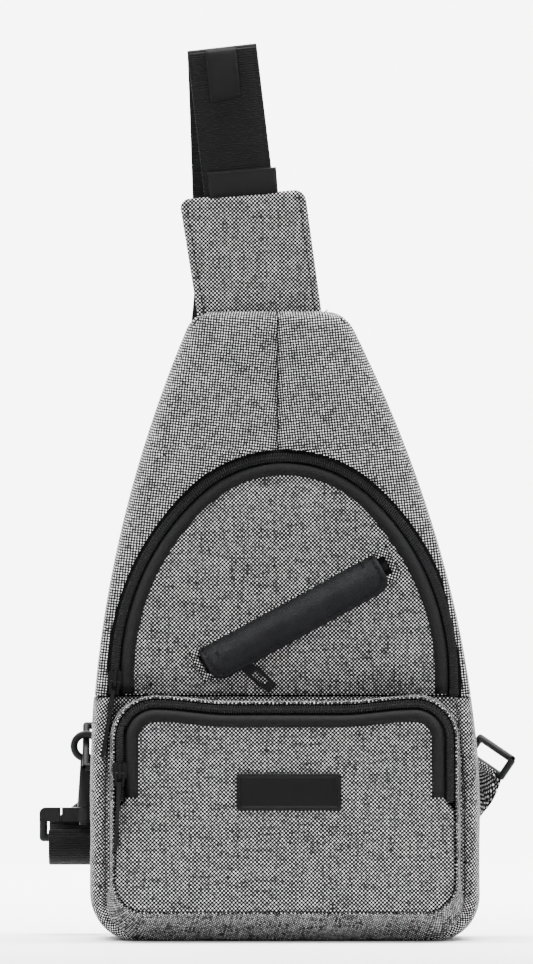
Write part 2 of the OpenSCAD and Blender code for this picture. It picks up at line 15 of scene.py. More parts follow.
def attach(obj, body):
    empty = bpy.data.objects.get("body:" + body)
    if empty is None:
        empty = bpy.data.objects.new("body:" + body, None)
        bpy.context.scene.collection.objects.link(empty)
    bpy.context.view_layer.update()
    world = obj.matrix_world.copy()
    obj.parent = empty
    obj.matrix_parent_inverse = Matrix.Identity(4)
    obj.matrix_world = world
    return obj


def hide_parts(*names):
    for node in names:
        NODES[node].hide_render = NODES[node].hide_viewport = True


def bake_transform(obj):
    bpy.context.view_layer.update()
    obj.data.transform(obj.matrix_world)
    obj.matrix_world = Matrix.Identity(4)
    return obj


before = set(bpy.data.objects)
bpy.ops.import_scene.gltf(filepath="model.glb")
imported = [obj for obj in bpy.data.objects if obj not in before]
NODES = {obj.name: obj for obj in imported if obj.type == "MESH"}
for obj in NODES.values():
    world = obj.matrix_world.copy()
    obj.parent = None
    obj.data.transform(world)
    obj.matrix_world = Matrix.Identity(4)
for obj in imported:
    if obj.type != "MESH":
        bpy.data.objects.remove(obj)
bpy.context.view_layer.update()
random.seed(11)

MM = 0.001

# ---- sizes of the bag, as its frame has them ----

BELLY_HALF_W = 104.5
BELLY_Z = 73
BAG_H = 340
TAPER = 64
TAPER_POWER = 1.95
TOP_SHIFT = 8.5
CORNER_R = 24
TOP_R = 9
FRONT_Y = -20
BACK_Y = 40
LEAN = radians(7)

ARCH_X = -0.3
ARCH_V = 143.6
ARCH_HALF_W = 91.5
ARCH_RISE = 119
ARCH_SIDE_C = 45
FOLD_V = 132.8
TAPE_W = 4
PANEL_EDGE = 4.5
BINDING_W = 6
ZIP_FOOT_TOP = 150

POCKET_D = 20
POCKET_HALF_W = 88.8
POCKET_TOP = 126.5
POCKET_R = 19
POCKET_LOW = 14
POCKET_LOW_R = 16
POCKET_STUB_TOP = 113.6
POCKET_DIP = 3.0

SLANT_AT = (0.9, 182.6)
SLANT = radians(28.8)
SLOT_S = (-56, 59)
SLOT_T = (-12.8, -1.8)
SLANT_ZIP_N = -1.3

SEAM_X = -4
WEB_W = 38
WEB_T = 1.6
STRAP_TOP = 484
STRAP_SLOPE = 36 / 437
STRAP_BACK_Y = 36
STRAP_Y0 = STRAP_BACK_Y + STRAP_TOP * STRAP_SLOPE
HOOK = (-108.5, 52)
HOOK_BAR_Z = 53.2


# ---- places ----


def front(x, v, n=0.0):
    """A point on the leaning front: x to the right, v up along the fabric, n out of it."""
    return Vector((x, FRONT_Y + v * sin(LEAN) - n * cos(LEAN), v * cos(LEAN) + n * sin(LEAN)))


def slanted(s, t, n=0.0):
    """A point by the slanted pocket: s along its slit, t across it, n out of the front."""
    x = SLANT_AT[0] + s * cos(SLANT) - t * sin(SLANT)
    v = SLANT_AT[1] + s * sin(SLANT) + t * cos(SLANT)
    return front(x, v, n)


def blend01(t):
    """0 below 0, 1 above 1, and a smooth step between."""
    t = min(max(t, 0.0), 1.0)
    return t * t * (3 - 2 * t)


def arc(cx, cy, r, start, end, steps):
    """Points of an arc, with its angles in degrees."""
    angles = [radians(start + (end - start) * i / steps) for i in range(steps + 1)]
    return [(cx + r * cos(a), cy + r * sin(a)) for a in angles]


def half_w(z):
    share = max(0.0, (z - BELLY_Z) / (BAG_H - BELLY_Z))
    return BELLY_HALF_W - TAPER * share**TAPER_POWER


def middle_x(z):
    return -TOP_SHIFT * max(0.0, (z - BELLY_Z) / (BAG_H - BELLY_Z)) ** 1.3


def side_x(z, side):
    """X of the bag's left (-1) or right (1) side at height z."""
    half = half_w(z)
    if z < CORNER_R:
        half -= CORNER_R - sqrt(max(0.0, CORNER_R**2 - (CORNER_R - z) ** 2))
    if z > BAG_H - TOP_R:
        rise = min(z - BAG_H + TOP_R, TOP_R)
        half -= TOP_R - sqrt(TOP_R**2 - rise**2)
    return middle_x(z) + side * half


side_arc_r = ARCH_HALF_W + ARCH_SIDE_C
arc_excess = side_arc_r - ARCH_RISE
top_arc_c = (ARCH_SIDE_C**2 - arc_excess**2) / (2 * arc_excess)
top_arc_r = ARCH_RISE - top_arc_c
split_angle = degrees(atan2(top_arc_c, ARCH_SIDE_C))


def arch_half(grow, foot=FOLD_V, steps=24):
    """Right half of the main zip's arch, from its foot to its top, as (x, v)."""
    low = [(ARCH_HALF_W + grow, foot), (ARCH_HALF_W + grow, (foot + ARCH_V) / 2)]
    side = arc(-ARCH_SIDE_C, ARCH_V, side_arc_r + grow, 0, split_angle, steps)
    top = arc(0, ARCH_V + top_arc_c, top_arc_r + grow, split_angle, 90, steps)
    return low + side + top[1:]


def arch_path(grow, foot=FOLD_V, steps=24):
    """The whole arch, from its right foot over the top to its left foot, as (x, v)."""
    half = arch_half(grow, foot, steps)
    mirrored = [(-x, v) for x, v in reversed(half[:-1])]
    return [(ARCH_X + x, v) for x, v in half + mirrored]


def pocket_path(grow, steps=8):
    """The pocket's closed outline, from the middle of its lower edge round by the right."""
    half = POCKET_HALF_W + grow
    high_r = POCKET_R + grow
    low_r = POCKET_LOW_R
    right = [(half * k / 12, POCKET_LOW) for k in range(11) if half * k / 12 < half - low_r - 2]
    right += arc(half - low_r, POCKET_LOW + low_r, low_r, -90, 0, steps)
    sides = 14
    straight = (POCKET_TOP + grow - high_r) - (POCKET_LOW + low_r)
    right += [(half, POCKET_LOW + low_r + straight * k / sides) for k in range(1, sides)]
    right += arc(half - high_r, POCKET_TOP + grow - high_r, high_r, 0, 90, steps + 4)
    run = half - high_r
    for k in range(1, 15):
        x = run * (1 - k / 14)
        right.append((x, POCKET_TOP + grow - POCKET_DIP * blend01((run - x) / 40)))
    left = [(-x, v) for x, v in reversed(right[1:-1])]
    return right + left


def lengths(path):
    """Distance along a path at each of its points."""
    total = 0.0
    result = [0.0]
    for a, b in zip(path, path[1:]):
        total += (Vector(b) - Vector(a)).length
        result.append(total)
    return result


def spaced(path, step):
    """Points at even steps along a path, about step apart, each with the path's direction."""
    marks = lengths(path)
    count = max(2, round(marks[-1] / step))
    result = []
    k = 0
    for i in range(count + 1):
        goal = marks[-1] * i / count
        while k < len(path) - 2 and marks[k + 1] < goal:
            k += 1
        a = Vector(path[k])
        b = Vector(path[k + 1])
        share = (goal - marks[k]) / max(marks[k + 1] - marks[k], 1e-9)
        result.append((a.lerp(b, share), (b - a).normalized()))
    return result


# ---- mesh making ----


def band_faces(rings, wide, closed=True, looped=False, caps=False):
    """Faces between rings of points. closed joins a ring's ends, looped the last ring to the first."""
    faces = []
    for i in range(rings if looped else rings - 1):
        low = i * wide
        high = (i + 1) % rings * wide
        for k in range(wide if closed else wide - 1):
            n = (k + 1) % wide
            faces.append((low + k, low + n, high + n, high + k))
    if caps:
        faces.append(tuple(range(wide - 1, -1, -1)))
        faces.append(tuple(range((rings - 1) * wide, rings * wide)))
    return faces


def make_piece(name, points, faces, weave=None):
    """A mesh object from points in mm. weave is each point's place in the flat cloth, in mm."""
    mesh = bpy.data.meshes.new(name)
    mesh.from_pydata([Vector(p) * MM for p in points], [], faces)
    if weave:
        cloth = mesh.attributes.new("weave", "FLOAT_VECTOR", "POINT")
        cloth.data.foreach_set("vector", [c for p in weave for c in (p[0], p[1], 0.0)])
    mesh.polygons.foreach_set("use_smooth", [True] * len(mesh.polygons))
    piece = bpy.data.objects.new(name, mesh)
    bpy.context.scene.collection.objects.link(piece)
    return piece


def grid(name, rows, weave_rows, closed=False):
    """A sheet from rows of points; closed joins each row's end to its start."""
    points = [p for row in rows for p in row]
    weave = [p for row in weave_rows for p in row]
    return make_piece(name, points, band_faces(len(rows), len(rows[0]), closed), weave)


@contextmanager
def editing(piece):
    """Opens a piece's mesh for editing and writes it back."""
    edit = bmesh.new()
    edit.from_mesh(piece.data)
    yield edit
    edit.to_mesh(piece.data)
    edit.free()


def outward(piece):
    """Turns the faces of a closed shape outwards."""
    with editing(piece) as edit:
        bmesh.ops.recalc_face_normals(edit, faces=edit.faces)
    return piece


def face_from(piece, inside):
    """Turns the faces so that they look away from a point, in mm."""
    inside = Vector(inside) * MM
    total = sum((p.center - inside).dot(p.normal) * p.area for p in piece.data.polygons)
    if total < 0:
        piece.data.flip_normals()
    return piece


def settle(piece):
    """Gives the piece the mesh that its modifiers make."""
    depsgraph = bpy.context.evaluated_depsgraph_get()
    shaped = piece.evaluated_get(depsgraph)
    mesh = bpy.data.meshes.new_from_object(shaped, preserve_all_data_layers=True, depsgraph=depsgraph)
    piece.modifiers.clear()
    piece.data = mesh
    return piece


def thicken(piece, thickness):
    """Gives a sheet its thickness behind its face."""
    solid = piece.modifiers.new("Thickness", "SOLIDIFY")
    solid.thickness = thickness * MM
    solid.offset = -1
    solid.use_even_offset = False
    return settle(piece)


def sheet(name, rows, weave, inside, thickness):
    """A cloth from rows of points, facing away from a point behind it."""
    piece = grid(name, rows, weave)
    face_from(piece, inside)
    return thicken(piece, thickness)


def puff(piece, pinned, pressure, cap, frames=20):
    """Lets pressure fill the cloth between its pinned points; no point moves further than cap."""
    start = [v.co.copy() for v in piece.data.vertices]
    group = piece.vertex_groups.new(name="pins")
    group.add(pinned, 1.0, "REPLACE")
    cloth = piece.modifiers.new("Cloth", "CLOTH")
    cloth.settings.quality = 6
    cloth.settings.mass = 0.3
    cloth.settings.tension_stiffness = 40
    cloth.settings.compression_stiffness = 40
    cloth.settings.shear_stiffness = 20
    cloth.settings.bending_stiffness = 2
    cloth.settings.vertex_group_mass = "pins"
    cloth.settings.use_pressure = True
    cloth.settings.uniform_pressure_force = pressure
    cloth.settings.effector_weights.gravity = 0
    cloth.collision_settings.use_collision = False
    cloth.point_cache.frame_end = frames
    for i in range(1, frames + 1):
        bpy.context.scene.frame_set(i)
    settle(piece)
    bpy.context.scene.frame_set(1)
    for vertex, home in zip(piece.data.vertices, start):
        move = vertex.co - home
        if move.length > cap * MM:
            vertex.co = home + move.normalized() * cap * MM
    piece.vertex_groups.clear()
    return piece


def sweep(name, path, profile, place, closed=False):
    """Draws a closed profile of (across, out) along a path of (x, v); place sets each point."""
    points = []
    weave = []
    marks = lengths(path)
    last = len(path) - 1
    for i, at in enumerate(path):
        before = Vector(path[i - 1] if closed or i > 0 else path[0])
        after = Vector(path[(i + 1) % len(path)] if closed or i < last else path[last])
        along = (after - before).normalized()
        side = Vector((along.y, -along.x))
        for across, out in profile:
            spot = Vector(at) + side * across
            points.append(place(spot.x, spot.y, out))
            weave.append((across, marks[i]))
    faces = band_faces(len(path), len(profile), looped=closed, caps=not closed)
    return outward(make_piece(name, points, faces, weave))


def oval(width, height, low=0.0, points=12, flat=0.6):
    """A rounded profile, width across, standing from low to low + height."""
    result = []
    for k in range(points):
        a = 2 * pi * k / points
        across = abs(cos(a)) ** flat * (1 if cos(a) > 0 else -1)
        out = abs(sin(a)) ** flat * (1 if sin(a) > 0 else -1)
        result.append((across * width / 2, low + (out + 1) * height / 2))
    return result


def capsule_shape(length, r, sides=6):
    """A small rounded bar along +X, for stitches and zip teeth."""
    stations = [(-0.5, 0.35), (-0.38, 1.0), (0.38, 1.0), (0.5, 0.35)]
    points = []
    for share, fat in stations:
        for k in range(sides):
            a = 2 * pi * k / sides
            points.append(Vector((share * length, r * fat * cos(a), r * fat * sin(a))))
    return points, band_faces(len(stations), sides, caps=True)


def many(name, shape, frames_mm):
    """One mesh of copies of a shape; each place is (origin, x axis, z axis)."""
    shape_points, shape_faces = shape
    points = []
    faces = []
    for origin, x_axis, z_axis in frames_mm:
        y_axis = z_axis.cross(x_axis)
        base = len(points)
        points += [origin + x_axis * p.x + y_axis * p.y + z_axis * p.z for p in shape_points]
        faces += [tuple(base + i for i in face) for face in shape_faces]
    return make_piece(name, points, faces)


OUT = front(0, 0, 1) - front(0, 0, 0)


def stitches(name, lines, material, body, long=2.6, pitch=3.6, r=0.28):
    """Sewn stitches along lines of points in mm, each line with the direction it is seen from."""
    places = []
    for line, normal in lines:
        for spot, along in spaced(line, pitch):
            across = normal.cross(along).normalized()
            places.append((spot, along, along.cross(across).normalized()))
    piece = many(name, capsule_shape(long, r), places)
    return finished(piece, material, body)


def finished(piece, material, body, replaces=()):
    """Gives a piece its material, the body that it rides on and what it stands for."""
    piece.data.materials.clear()
    piece.data.materials.append(material)
    if body:
        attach(piece, body)
    if replaces:
        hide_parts(*replaces)
    return piece


# ---- materials ----


def shader(name, **sockets):
    """A new material and its shader, with the given sockets set."""
    material = bpy.data.materials.new(name)
    material.use_nodes = True
    surface = material.node_tree.nodes["Principled BSDF"]
    for socket, value in sockets.items():
        surface.inputs[socket.replace("_", " ")].default_value = value
    return material, surface


def add(tree, kind, sockets=None, **settings):
    """Adds a node; sockets holds values or other nodes' outputs, by input name or number."""
    node = tree.nodes.new(kind)
    for key, value in settings.items():
        setattr(node, key, value)
    for socket, value in (sockets or {}).items():
        if isinstance(value, bpy.types.NodeSocket):
            tree.links.new(value, node.inputs[socket])
        else:
            node.inputs[socket].default_value = value
    return node


def calc(tree, operation, *values):
    return add(tree, "ShaderNodeMath", dict(enumerate(values)), operation=operation).outputs[0]


def thread_place(tree, scale, turn=0.0, stretch=1.0):
    """The weave attribute, turned by some degrees and counted in cells of 1 / scale mm."""
    place = add(tree, "ShaderNodeAttribute", attribute_name="weave").outputs["Vector"]
    sockets = {"Vector": place, "Rotation": (0, 0, radians(turn)), "Scale": (scale, scale * stretch, 1)}
    return add(tree, "ShaderNodeMapping", sockets, vector_type="POINT").outputs["Vector"]


def colour_mix(tree, share, low, high):
    sockets = {"Factor": share, 6: low, 7: high}
    return add(tree, "ShaderNodeMix", sockets, data_type="RGBA").outputs[2]


def bump(tree, height, surface, distance, strength=1.0):
    sockets = {"Height": height, "Distance": distance * MM, "Strength": strength}
    made = add(tree, "ShaderNodeBump", sockets)
    tree.links.new(made.outputs["Normal"], surface.inputs["Normal"])


def tweed_material(name, turn, lightness=-1.2, cell=1.04):
    """Black and white threads in a plain weave, turned by some degrees in the cloth. A lightness below -1.2
    makes a darker copy of the cloth, used as painted shade.
    """
    material, surface = shader(name, Roughness=0.95, Specular_IOR_Level=0.15)
    tree = material.node_tree
    place = thread_place(tree, 1 / cell, turn)
    wander = add(tree, "ShaderNodeTexNoise", {"Vector": place, "Scale": 0.35, "Detail": 2.0})
    shift = add(tree, "ShaderNodeVectorMath", {0: wander.outputs["Color"], 1: (0.5, 0.5, 0.5)},
                operation="SUBTRACT").outputs[0]
    shift = add(tree, "ShaderNodeVectorMath", {0: shift, "Scale": 0.55}, operation="SCALE").outputs[0]
    place = add(tree, "ShaderNodeVectorMath", {0: place, 1: shift}, operation="ADD").outputs[0]
    cell_at = add(tree, "ShaderNodeVectorMath", {0: place}, operation="FLOOR").outputs[0]
    part = add(tree, "ShaderNodeSeparateXYZ", {0: place})
    whole = add(tree, "ShaderNodeSeparateXYZ", {0: cell_at})
    domes = []
    for axis in ("X", "Y"):
        wave = calc(tree, "SINE", calc(tree, "MULTIPLY", part.outputs[axis], pi))
        domes.append(calc(tree, "ABSOLUTE", wave))
    dome = calc(tree, "POWER", calc(tree, "MULTIPLY", domes[0], domes[1]), 0.6)
    both = calc(tree, "ADD", whole.outputs["X"], whole.outputs["Y"])
    light = calc(tree, "FLOORED_MODULO", both, 2.0)
    chance = add(tree, "ShaderNodeTexWhiteNoise", {"Vector": cell_at}, noise_dimensions="2D")
    long_streaks = add(tree, "ShaderNodeMapping", {"Vector": place, "Scale": (0.05, 0.8, 1)})
    tall_streaks = add(tree, "ShaderNodeMapping", {"Vector": place, "Scale": (0.8, 0.05, 1)})
    shade = chance.outputs["Value"]
    for lines in (long_streaks, tall_streaks):
        streak = add(tree, "ShaderNodeTexNoise", {"Vector": lines.outputs[0], "Scale": 1.0, "Detail": 2.0})
        shade = calc(tree, "ADD", shade, calc(tree, "MULTIPLY", streak.outputs["Fac"], 2.2))
    # lightness moves every cell's brightness: the darker copies use it as painted shade
    shade = calc(tree, "ADD", lightness, calc(tree, "MULTIPLY", shade, 0.82))
    fibre = calc(tree, "MULTIPLY", light, calc(tree, "POWER", dome, 2.8))
    share = calc(tree, "MINIMUM", calc(tree, "MULTIPLY", fibre, calc(tree, "MAXIMUM", shade, 0.05)), 1.0)
    colour = colour_mix(tree, share, (0.003, 0.003, 0.0035, 1), (0.97, 0.97, 0.96, 1))
    tree.links.new(colour, surface.inputs["Base Color"])
    bump(tree, dome, surface, 0.22, 0.8)
    return material


def ribbed_material(name, colour, pitch, depth, roughness=0.75, cross=0.5):
    """Woven tape: ribs across it every pitch mm, crossed by finer threads along it. Its colour has painted
    shade in the grooves and a painted highlight on the ribs, with some random tone from the fuzz.
    """
    material, surface = shader(name, Roughness=roughness, Specular_IOR_Level=0.08)
    tree = material.node_tree
    place = add(tree, "ShaderNodeSeparateXYZ", {0: thread_place(tree, 1.0)})
    rib = calc(tree, "SINE", calc(tree, "MULTIPLY", place.outputs["Y"], 2 * pi / pitch))
    thread = calc(tree, "SINE", calc(tree, "MULTIPLY", place.outputs["X"], 2 * pi / (pitch * cross)))
    mixed = calc(tree, "ADD", rib, calc(tree, "MULTIPLY", thread, 0.4))
    fuzz = add(tree, "ShaderNodeTexNoise", {"Vector": thread_place(tree, 1.5), "Scale": 2.0})
    height = calc(tree, "ADD", mixed, fuzz.outputs["Fac"])
    # Colour follows the weave's height: painted shade in the grooves, painted highlight on the ribs, plus
    # random tone from the fuzz
    level = calc(tree, "ADD", calc(tree, "MULTIPLY", height, 0.2), 0.4)
    dark = (colour * 0.5, colour * 0.5, colour * 0.52, 1)
    pale = (colour * 1.9, colour * 1.9, colour * 1.95, 1)
    tree.links.new(colour_mix(tree, level, dark, pale), surface.inputs["Base Color"])
    bump(tree, height, surface, depth, 0.9)
    return material


def grained_material(name, low, high, roughness, grain, depth, metallic=0.0, coat=0.0):
    """Moulded or painted stuff: fine grain in its colour, roughness and surface."""
    material, surface = shader(name, Metallic=metallic, Coat_Weight=coat, Coat_Roughness=0.3,
                               Specular_IOR_Level=0.09)
    tree = material.node_tree
    place = add(tree, "ShaderNodeTexCoord").outputs["Object"]
    fine = add(tree, "ShaderNodeTexNoise", {"Vector": place, "Scale": 1000 / grain, "Detail": 4.0})
    broad = add(tree, "ShaderNodeTexNoise", {"Vector": place, "Scale": 60.0, "Detail": 3.0})
    share = calc(tree, "MULTIPLY", calc(tree, "ADD", fine.outputs["Fac"], broad.outputs["Fac"]), 0.5)
    colour = colour_mix(tree, share, (low, low, low * 1.06, 1), (high, high, high * 1.06, 1))
    tree.links.new(colour, surface.inputs["Base Color"])
    rough = calc(tree, "ADD", roughness - 0.1, calc(tree, "MULTIPLY", broad.outputs["Fac"], 0.2))
    tree.links.new(rough, surface.inputs["Roughness"])
    bump(tree, fine.outputs["Fac"], surface, depth, 0.5)
    return material


def leather_material():
    """Black leather with fine creases: painted shade darkens the creases and a painted highlight makes the
    grain paler where it stands up, in broad random patches.
    """
    material, surface = shader("leather_grain", Specular_IOR_Level=0.09)
    tree = material.node_tree
    place = thread_place(tree, 1.0, stretch=0.42)
    cells = add(tree, "ShaderNodeTexVoronoi", {"Vector": place, "Scale": 1.5, "Randomness": 1.0},
                feature="DISTANCE_TO_EDGE")
    crease = add(tree, "ShaderNodeTexNoise", {"Vector": place, "Scale": 2.2, "Detail": 4.0})
    broad = add(tree, "ShaderNodeTexNoise", {"Vector": place, "Scale": 0.09, "Detail": 2.0})
    edge = calc(tree, "MINIMUM", calc(tree, "MULTIPLY", cells.outputs["Distance"], 3.0), 1.0)
    height = calc(tree, "ADD", edge, calc(tree, "MULTIPLY", crease.outputs["Fac"], 0.6))
    # Colour follows the grain's height, times broad random patches: painted shade in the creases, painted
    # highlight on the raised grain
    share = calc(tree, "MULTIPLY", calc(tree, "MULTIPLY", height, 0.6), broad.outputs["Fac"])
    colour = colour_mix(tree, share, (0.001, 0.001, 0.0015, 1), (0.013, 0.0135, 0.016, 1))
    tree.links.new(colour, surface.inputs["Base Color"])
    rough = calc(tree, "ADD", 0.42, calc(tree, "MULTIPLY", crease.outputs["Fac"], 0.25))
    tree.links.new(rough, surface.inputs["Roughness"])
    bump(tree, height, surface, 0.3, 0.7)
    return material


def mesh_material():
    """Knitted spacer mesh: rows of small round holes, painted darker as shade inside them."""
    material, surface = shader("spacer_mesh", Roughness=0.9, Specular_IOR_Level=0.1)
    tree = material.node_tree
    place = thread_place(tree, 1 / 2.4, 45)
    part = add(tree, "ShaderNodeSeparateXYZ", {0: place})
    waves = []
    for axis in ("X", "Y"):
        waves.append(calc(tree, "SINE", calc(tree, "MULTIPLY", part.outputs[axis], 2 * pi)))
    hole = calc(tree, "MULTIPLY", waves[0], waves[1])
    # The holes get a darker colour: painted shade where light does not reach into them
    open_share = calc(tree, "GREATER_THAN", hole, 0.35)
    colour = colour_mix(tree, open_share, (0.03, 0.03, 0.032, 1), (0.004, 0.004, 0.004, 1))
    tree.links.new(colour, surface.inputs["Base Color"])
    bump(tree, calc(tree, "MULTIPLY", hole, -1.0), surface, 0.5, 0.8)
    return material


tweed_straight = tweed_material("tweed_straight", 0)
tweed_left = tweed_material("tweed_left", 51)
tweed_right = tweed_material("tweed_right", 39)
# Darker copies of the same tweed as painted shade: on the sides and ring tabs, on the front panel and pocket,
# and on the pocket's gusset rim
tweed_side_painted_shade = tweed_material("tweed_side_painted_shade", 8, -1.35)
tweed_front_painted_shade = tweed_material("tweed_front_painted_shade", 0, -1.37)
tweed_band_painted_shade = tweed_material("tweed_band_painted_shade", 8, -1.6)
webbing = ribbed_material("webbing_ribs", 0.005, 1.3, 0.25)
zip_tape = ribbed_material("zip_tape_weave", 0.0035, 0.8, 0.12)
binding_cloth = ribbed_material("binding_weave", 0.004, 0.7, 0.08, roughness=0.6)
label_cloth = ribbed_material("label_weave", 0.0035, 0.5, 0.06, roughness=0.55, cross=1.0)
lining_cloth = ribbed_material("lining_weave", 0.012, 0.6, 0.05, roughness=0.6, cross=1.0)
coil_nylon = grained_material("coil_nylon", 0.005, 0.012, 0.42, 0.3, 0.03)
thread = grained_material("sewing_thread", 0.001, 0.004, 0.7, 0.2, 0.05)
painted_metal = grained_material("painted_metal", 0.006, 0.014, 0.36, 0.25, 0.02, 0.3)
plastic = grained_material("moulded_plastic", 0.004, 0.009, 0.42, 0.35, 0.03)
rubber = grained_material("soft_rubber", 0.002, 0.005, 0.55, 0.3, 0.04)
board_stuff = grained_material("stiff_board", 0.015, 0.03, 0.8, 0.8, 0.1)
leather = leather_material()
spacer_mesh = mesh_material()


# ---- the bag's own cloth ----

CLOTH_T = 1.6
SIDE_END_Y = BACK_Y - 1.2
SEAM_INSET = 8.0
LEAST_YOKE_W = 2.6


def front_y_at(z):
    return FRONT_Y + z * tan(LEAN)


def ripple(x, z, height, size=26.0):
    """Soft unevenness of a padded cloth."""
    return height * noise.noise(Vector((x / size, z / size, 3.1)))


def yoke_inner_edge(side):
    """Where a yoke ends inwards: along the zip's tape up to the centre seam, then up the seam."""
    edge = arch_path(TAPE_W + 0.2, steps=26)
    if side < 0:
        edge.reverse()
    start = SEAM_X - 0.6 if side < 0 else ARCH_X
    along = [(x, v) for x, v in edge if (x - start) * side > 0]
    top_v = ARCH_V + ARCH_RISE + TAPE_W + 0.2
    seam_end = BAG_H / cos(LEAN)
    seam = [(SEAM_X + side * 0.25, top_v + (seam_end - top_v) * k / 22) for k in range(23)]
    return along, seam


def yoke_row(x_in, z, side, push=0.0, seam_dip=0.0):
    """One level section of a yoke: out over the front, round the edge and back along the side."""
    x_out = side_x(z, side)
    x_in = side * min(side * x_in, side * x_out - LEAST_YOKE_W)
    width = abs(x_out - x_in)
    r = min(max(0.42 * width, 1.2), 9.0)
    y = front_y_at(z) + push
    depth = SIDE_END_Y - y
    r_back = min(r, depth)
    puff_out = 2.2 * blend01(width / 30)
    points = []
    front_steps = 16
    for k in range(front_steps + 1):
        share = k / front_steps
        x = x_in + (x_out - side * r - x_in) * share
        rise = puff_out * blend01(share * width / 14) * blend01((1 - share) * width / 22)
        fall = seam_dip * (1 - blend01(share * width / 5))
        calm = blend01(width * share / 10) * (1 if push == 0 else 0)
        points.append((x, y - rise + fall + ripple(x, z, 0.8) * calm, z))
    for k in range(1, 7):
        a = radians(90 * k / 6)
        x = x_out - side * r + side * r * sin(a)
        points.append((x, y + r_back * (1 - cos(a)), z))
    side_steps = 12
    for k in range(1, side_steps + 1):
        share = k / side_steps
        bulge = side * 0.9 * sin(pi * share) * blend01(depth / 30)
        points.append((x_out + bulge, y + r_back + (depth - r_back) * share, z))
    points.append((x_out - side * 1.4, max(BACK_Y - 0.3, y + 0.2), z))
    return points


def make_yoke(side, name, material, node):
    along, seam = yoke_inner_edge(side)
    rows = [yoke_row(x, v * cos(LEAN), side) for x, v in along]
    top_r = 5.0
    for x, v in seam:
        z = v * cos(LEAN)
        if z < BAG_H - top_r:
            rows.append(yoke_row(x, z, side, seam_dip=1.3))
    x_seam = seam[0][0]
    for k in range(1, 6):
        a = radians(90 * k / 5)
        z = BAG_H - top_r + top_r * sin(a)
        rows.append(yoke_row(x_seam, z, side, push=top_r * (1 - cos(a)), seam_dip=1.0))
    for k in range(1, 5):
        push = top_r + (SIDE_END_Y - front_y_at(BAG_H) - top_r) * k / 4
        rows.append(yoke_row(x_seam, BAG_H, side, push=push, seam_dip=0.0))
    weave = []
    for row in rows:
        run = lengths([(p[0], p[1]) for p in row])
        climb = row[0][2] + max(0.0, row[0][1] - front_y_at(row[0][2]))
        weave.append([(row[0][0] + side * r, climb) for r in run])
    return finished(sheet(name, rows, weave, (0, 20, 200), CLOTH_T), material, "root", [node])


make_yoke(-1, "yoke_left_cloth", tweed_left, "yoke_left")
make_yoke(1, "yoke_right_cloth", tweed_right, "yoke_right")


def gusset_route():
    """The bag's lower outline from its left seam under the base to its right seam: (x, z, out)."""
    top = FOLD_V * cos(LEAN) - 1.0
    heights = [top - (top - CORNER_R) * k / 26 for k in range(26)]
    left = [(side_x(z, -1), z, (-1.0, 0.0)) for z in heights]
    corner = []
    for k in range(13):
        a = radians(180 + 90 * k / 12)
        out = (cos(a), sin(a))
        centre_x = CORNER_R - BELLY_HALF_W
        corner.append((centre_x + CORNER_R * out[0], CORNER_R + CORNER_R * out[1], out))
    flat = BELLY_HALF_W - CORNER_R
    base = [(-flat + 2 * flat * k / 32, 0.0, (0.0, -1.0)) for k in range(1, 32)]
    right = [(-x, z, (-out[0], out[1])) for x, z, out in reversed(corner)]
    rise = [(side_x(z, 1), z, (1.0, 0.0)) for z in reversed(heights)]
    return left + corner + base + right + rise


GUSSET_EDGE_R = 6.0


def gusset_row(x, z, out, run):
    """One section of the lower gusset, from the front seam round the edge to the back seam."""
    turn = [(SEAM_INSET, 1.6), (SEAM_INSET - 0.5, 0.2), (GUSSET_EDGE_R + 0.4, -0.5)]
    for k in range(7):
        a = radians(90 * k / 6)
        turn.append((GUSSET_EDGE_R * (1 - sin(a)), GUSSET_EDGE_R * (1 - cos(a)) - 0.5 * cos(a)))
    row = []
    for inset, back in turn:
        level = z - out[1] * inset
        row.append((x - out[0] * inset, front_y_at(level) + back, level))
    start = front_y_at(z) + GUSSET_EDGE_R
    on_base = out[1] < -0.99
    for k in range(1, 17):
        share = k / 16
        swell = 0.0 if on_base else 1.1 * sin(pi * share) + ripple(run, start + 40 * share, 0.6)
        y = start + (SIDE_END_Y - start) * share
        row.append((x + out[0] * swell, y, max(0.0, z + out[1] * swell)))
    return row + [(x - out[0] * 1.4, BACK_Y - 0.3, max(0.0, z - out[1] * 1.4))]


def make_lower_gusset():
    route = gusset_route()
    marks = lengths([(x, z) for x, z, out in route])
    rows = [gusset_row(x, z, out, run) for (x, z, out), run in zip(route, marks)]
    weave = [[(across, run) for across in lengths(row)] for row, run in zip(rows, marks)]
    gusset = sheet("lower_gusset_cloth", rows, weave, (0, 15, 70), CLOTH_T)
    return finished(gusset, tweed_side_painted_shade, "root", ["lower_gusset"])


make_lower_gusset()


def inset_side_x(z, side, inset):
    """X of the outline moved inwards, at height z."""
    if z >= CORNER_R:
        return side_x(z, side) - side * inset
    reach = sqrt(max(0.0, (CORNER_R - inset) ** 2 - (CORNER_R - z) ** 2))
    return side * (BELLY_HALF_W - CORNER_R + reach)


def eased(count):
    """Shares from 0 to 1 that lie closer together near both ends."""
    return [0.5 - 0.5 * cos(pi * k / count) for k in range(count + 1)]


def upright_rows(heights, span, shares, y_at):
    """Rows of a sheet across the bag, with its flat places; span(z) gives its two edges."""
    rows = []
    for z in heights:
        left, right = span(z)
        row = []
        for share in shares:
            x = left + (right - left) * share
            row.append((x, y_at(x, z, left, right), z))
        rows.append(row)
    return rows, [[(p[0], p[2]) for p in row] for row in rows]


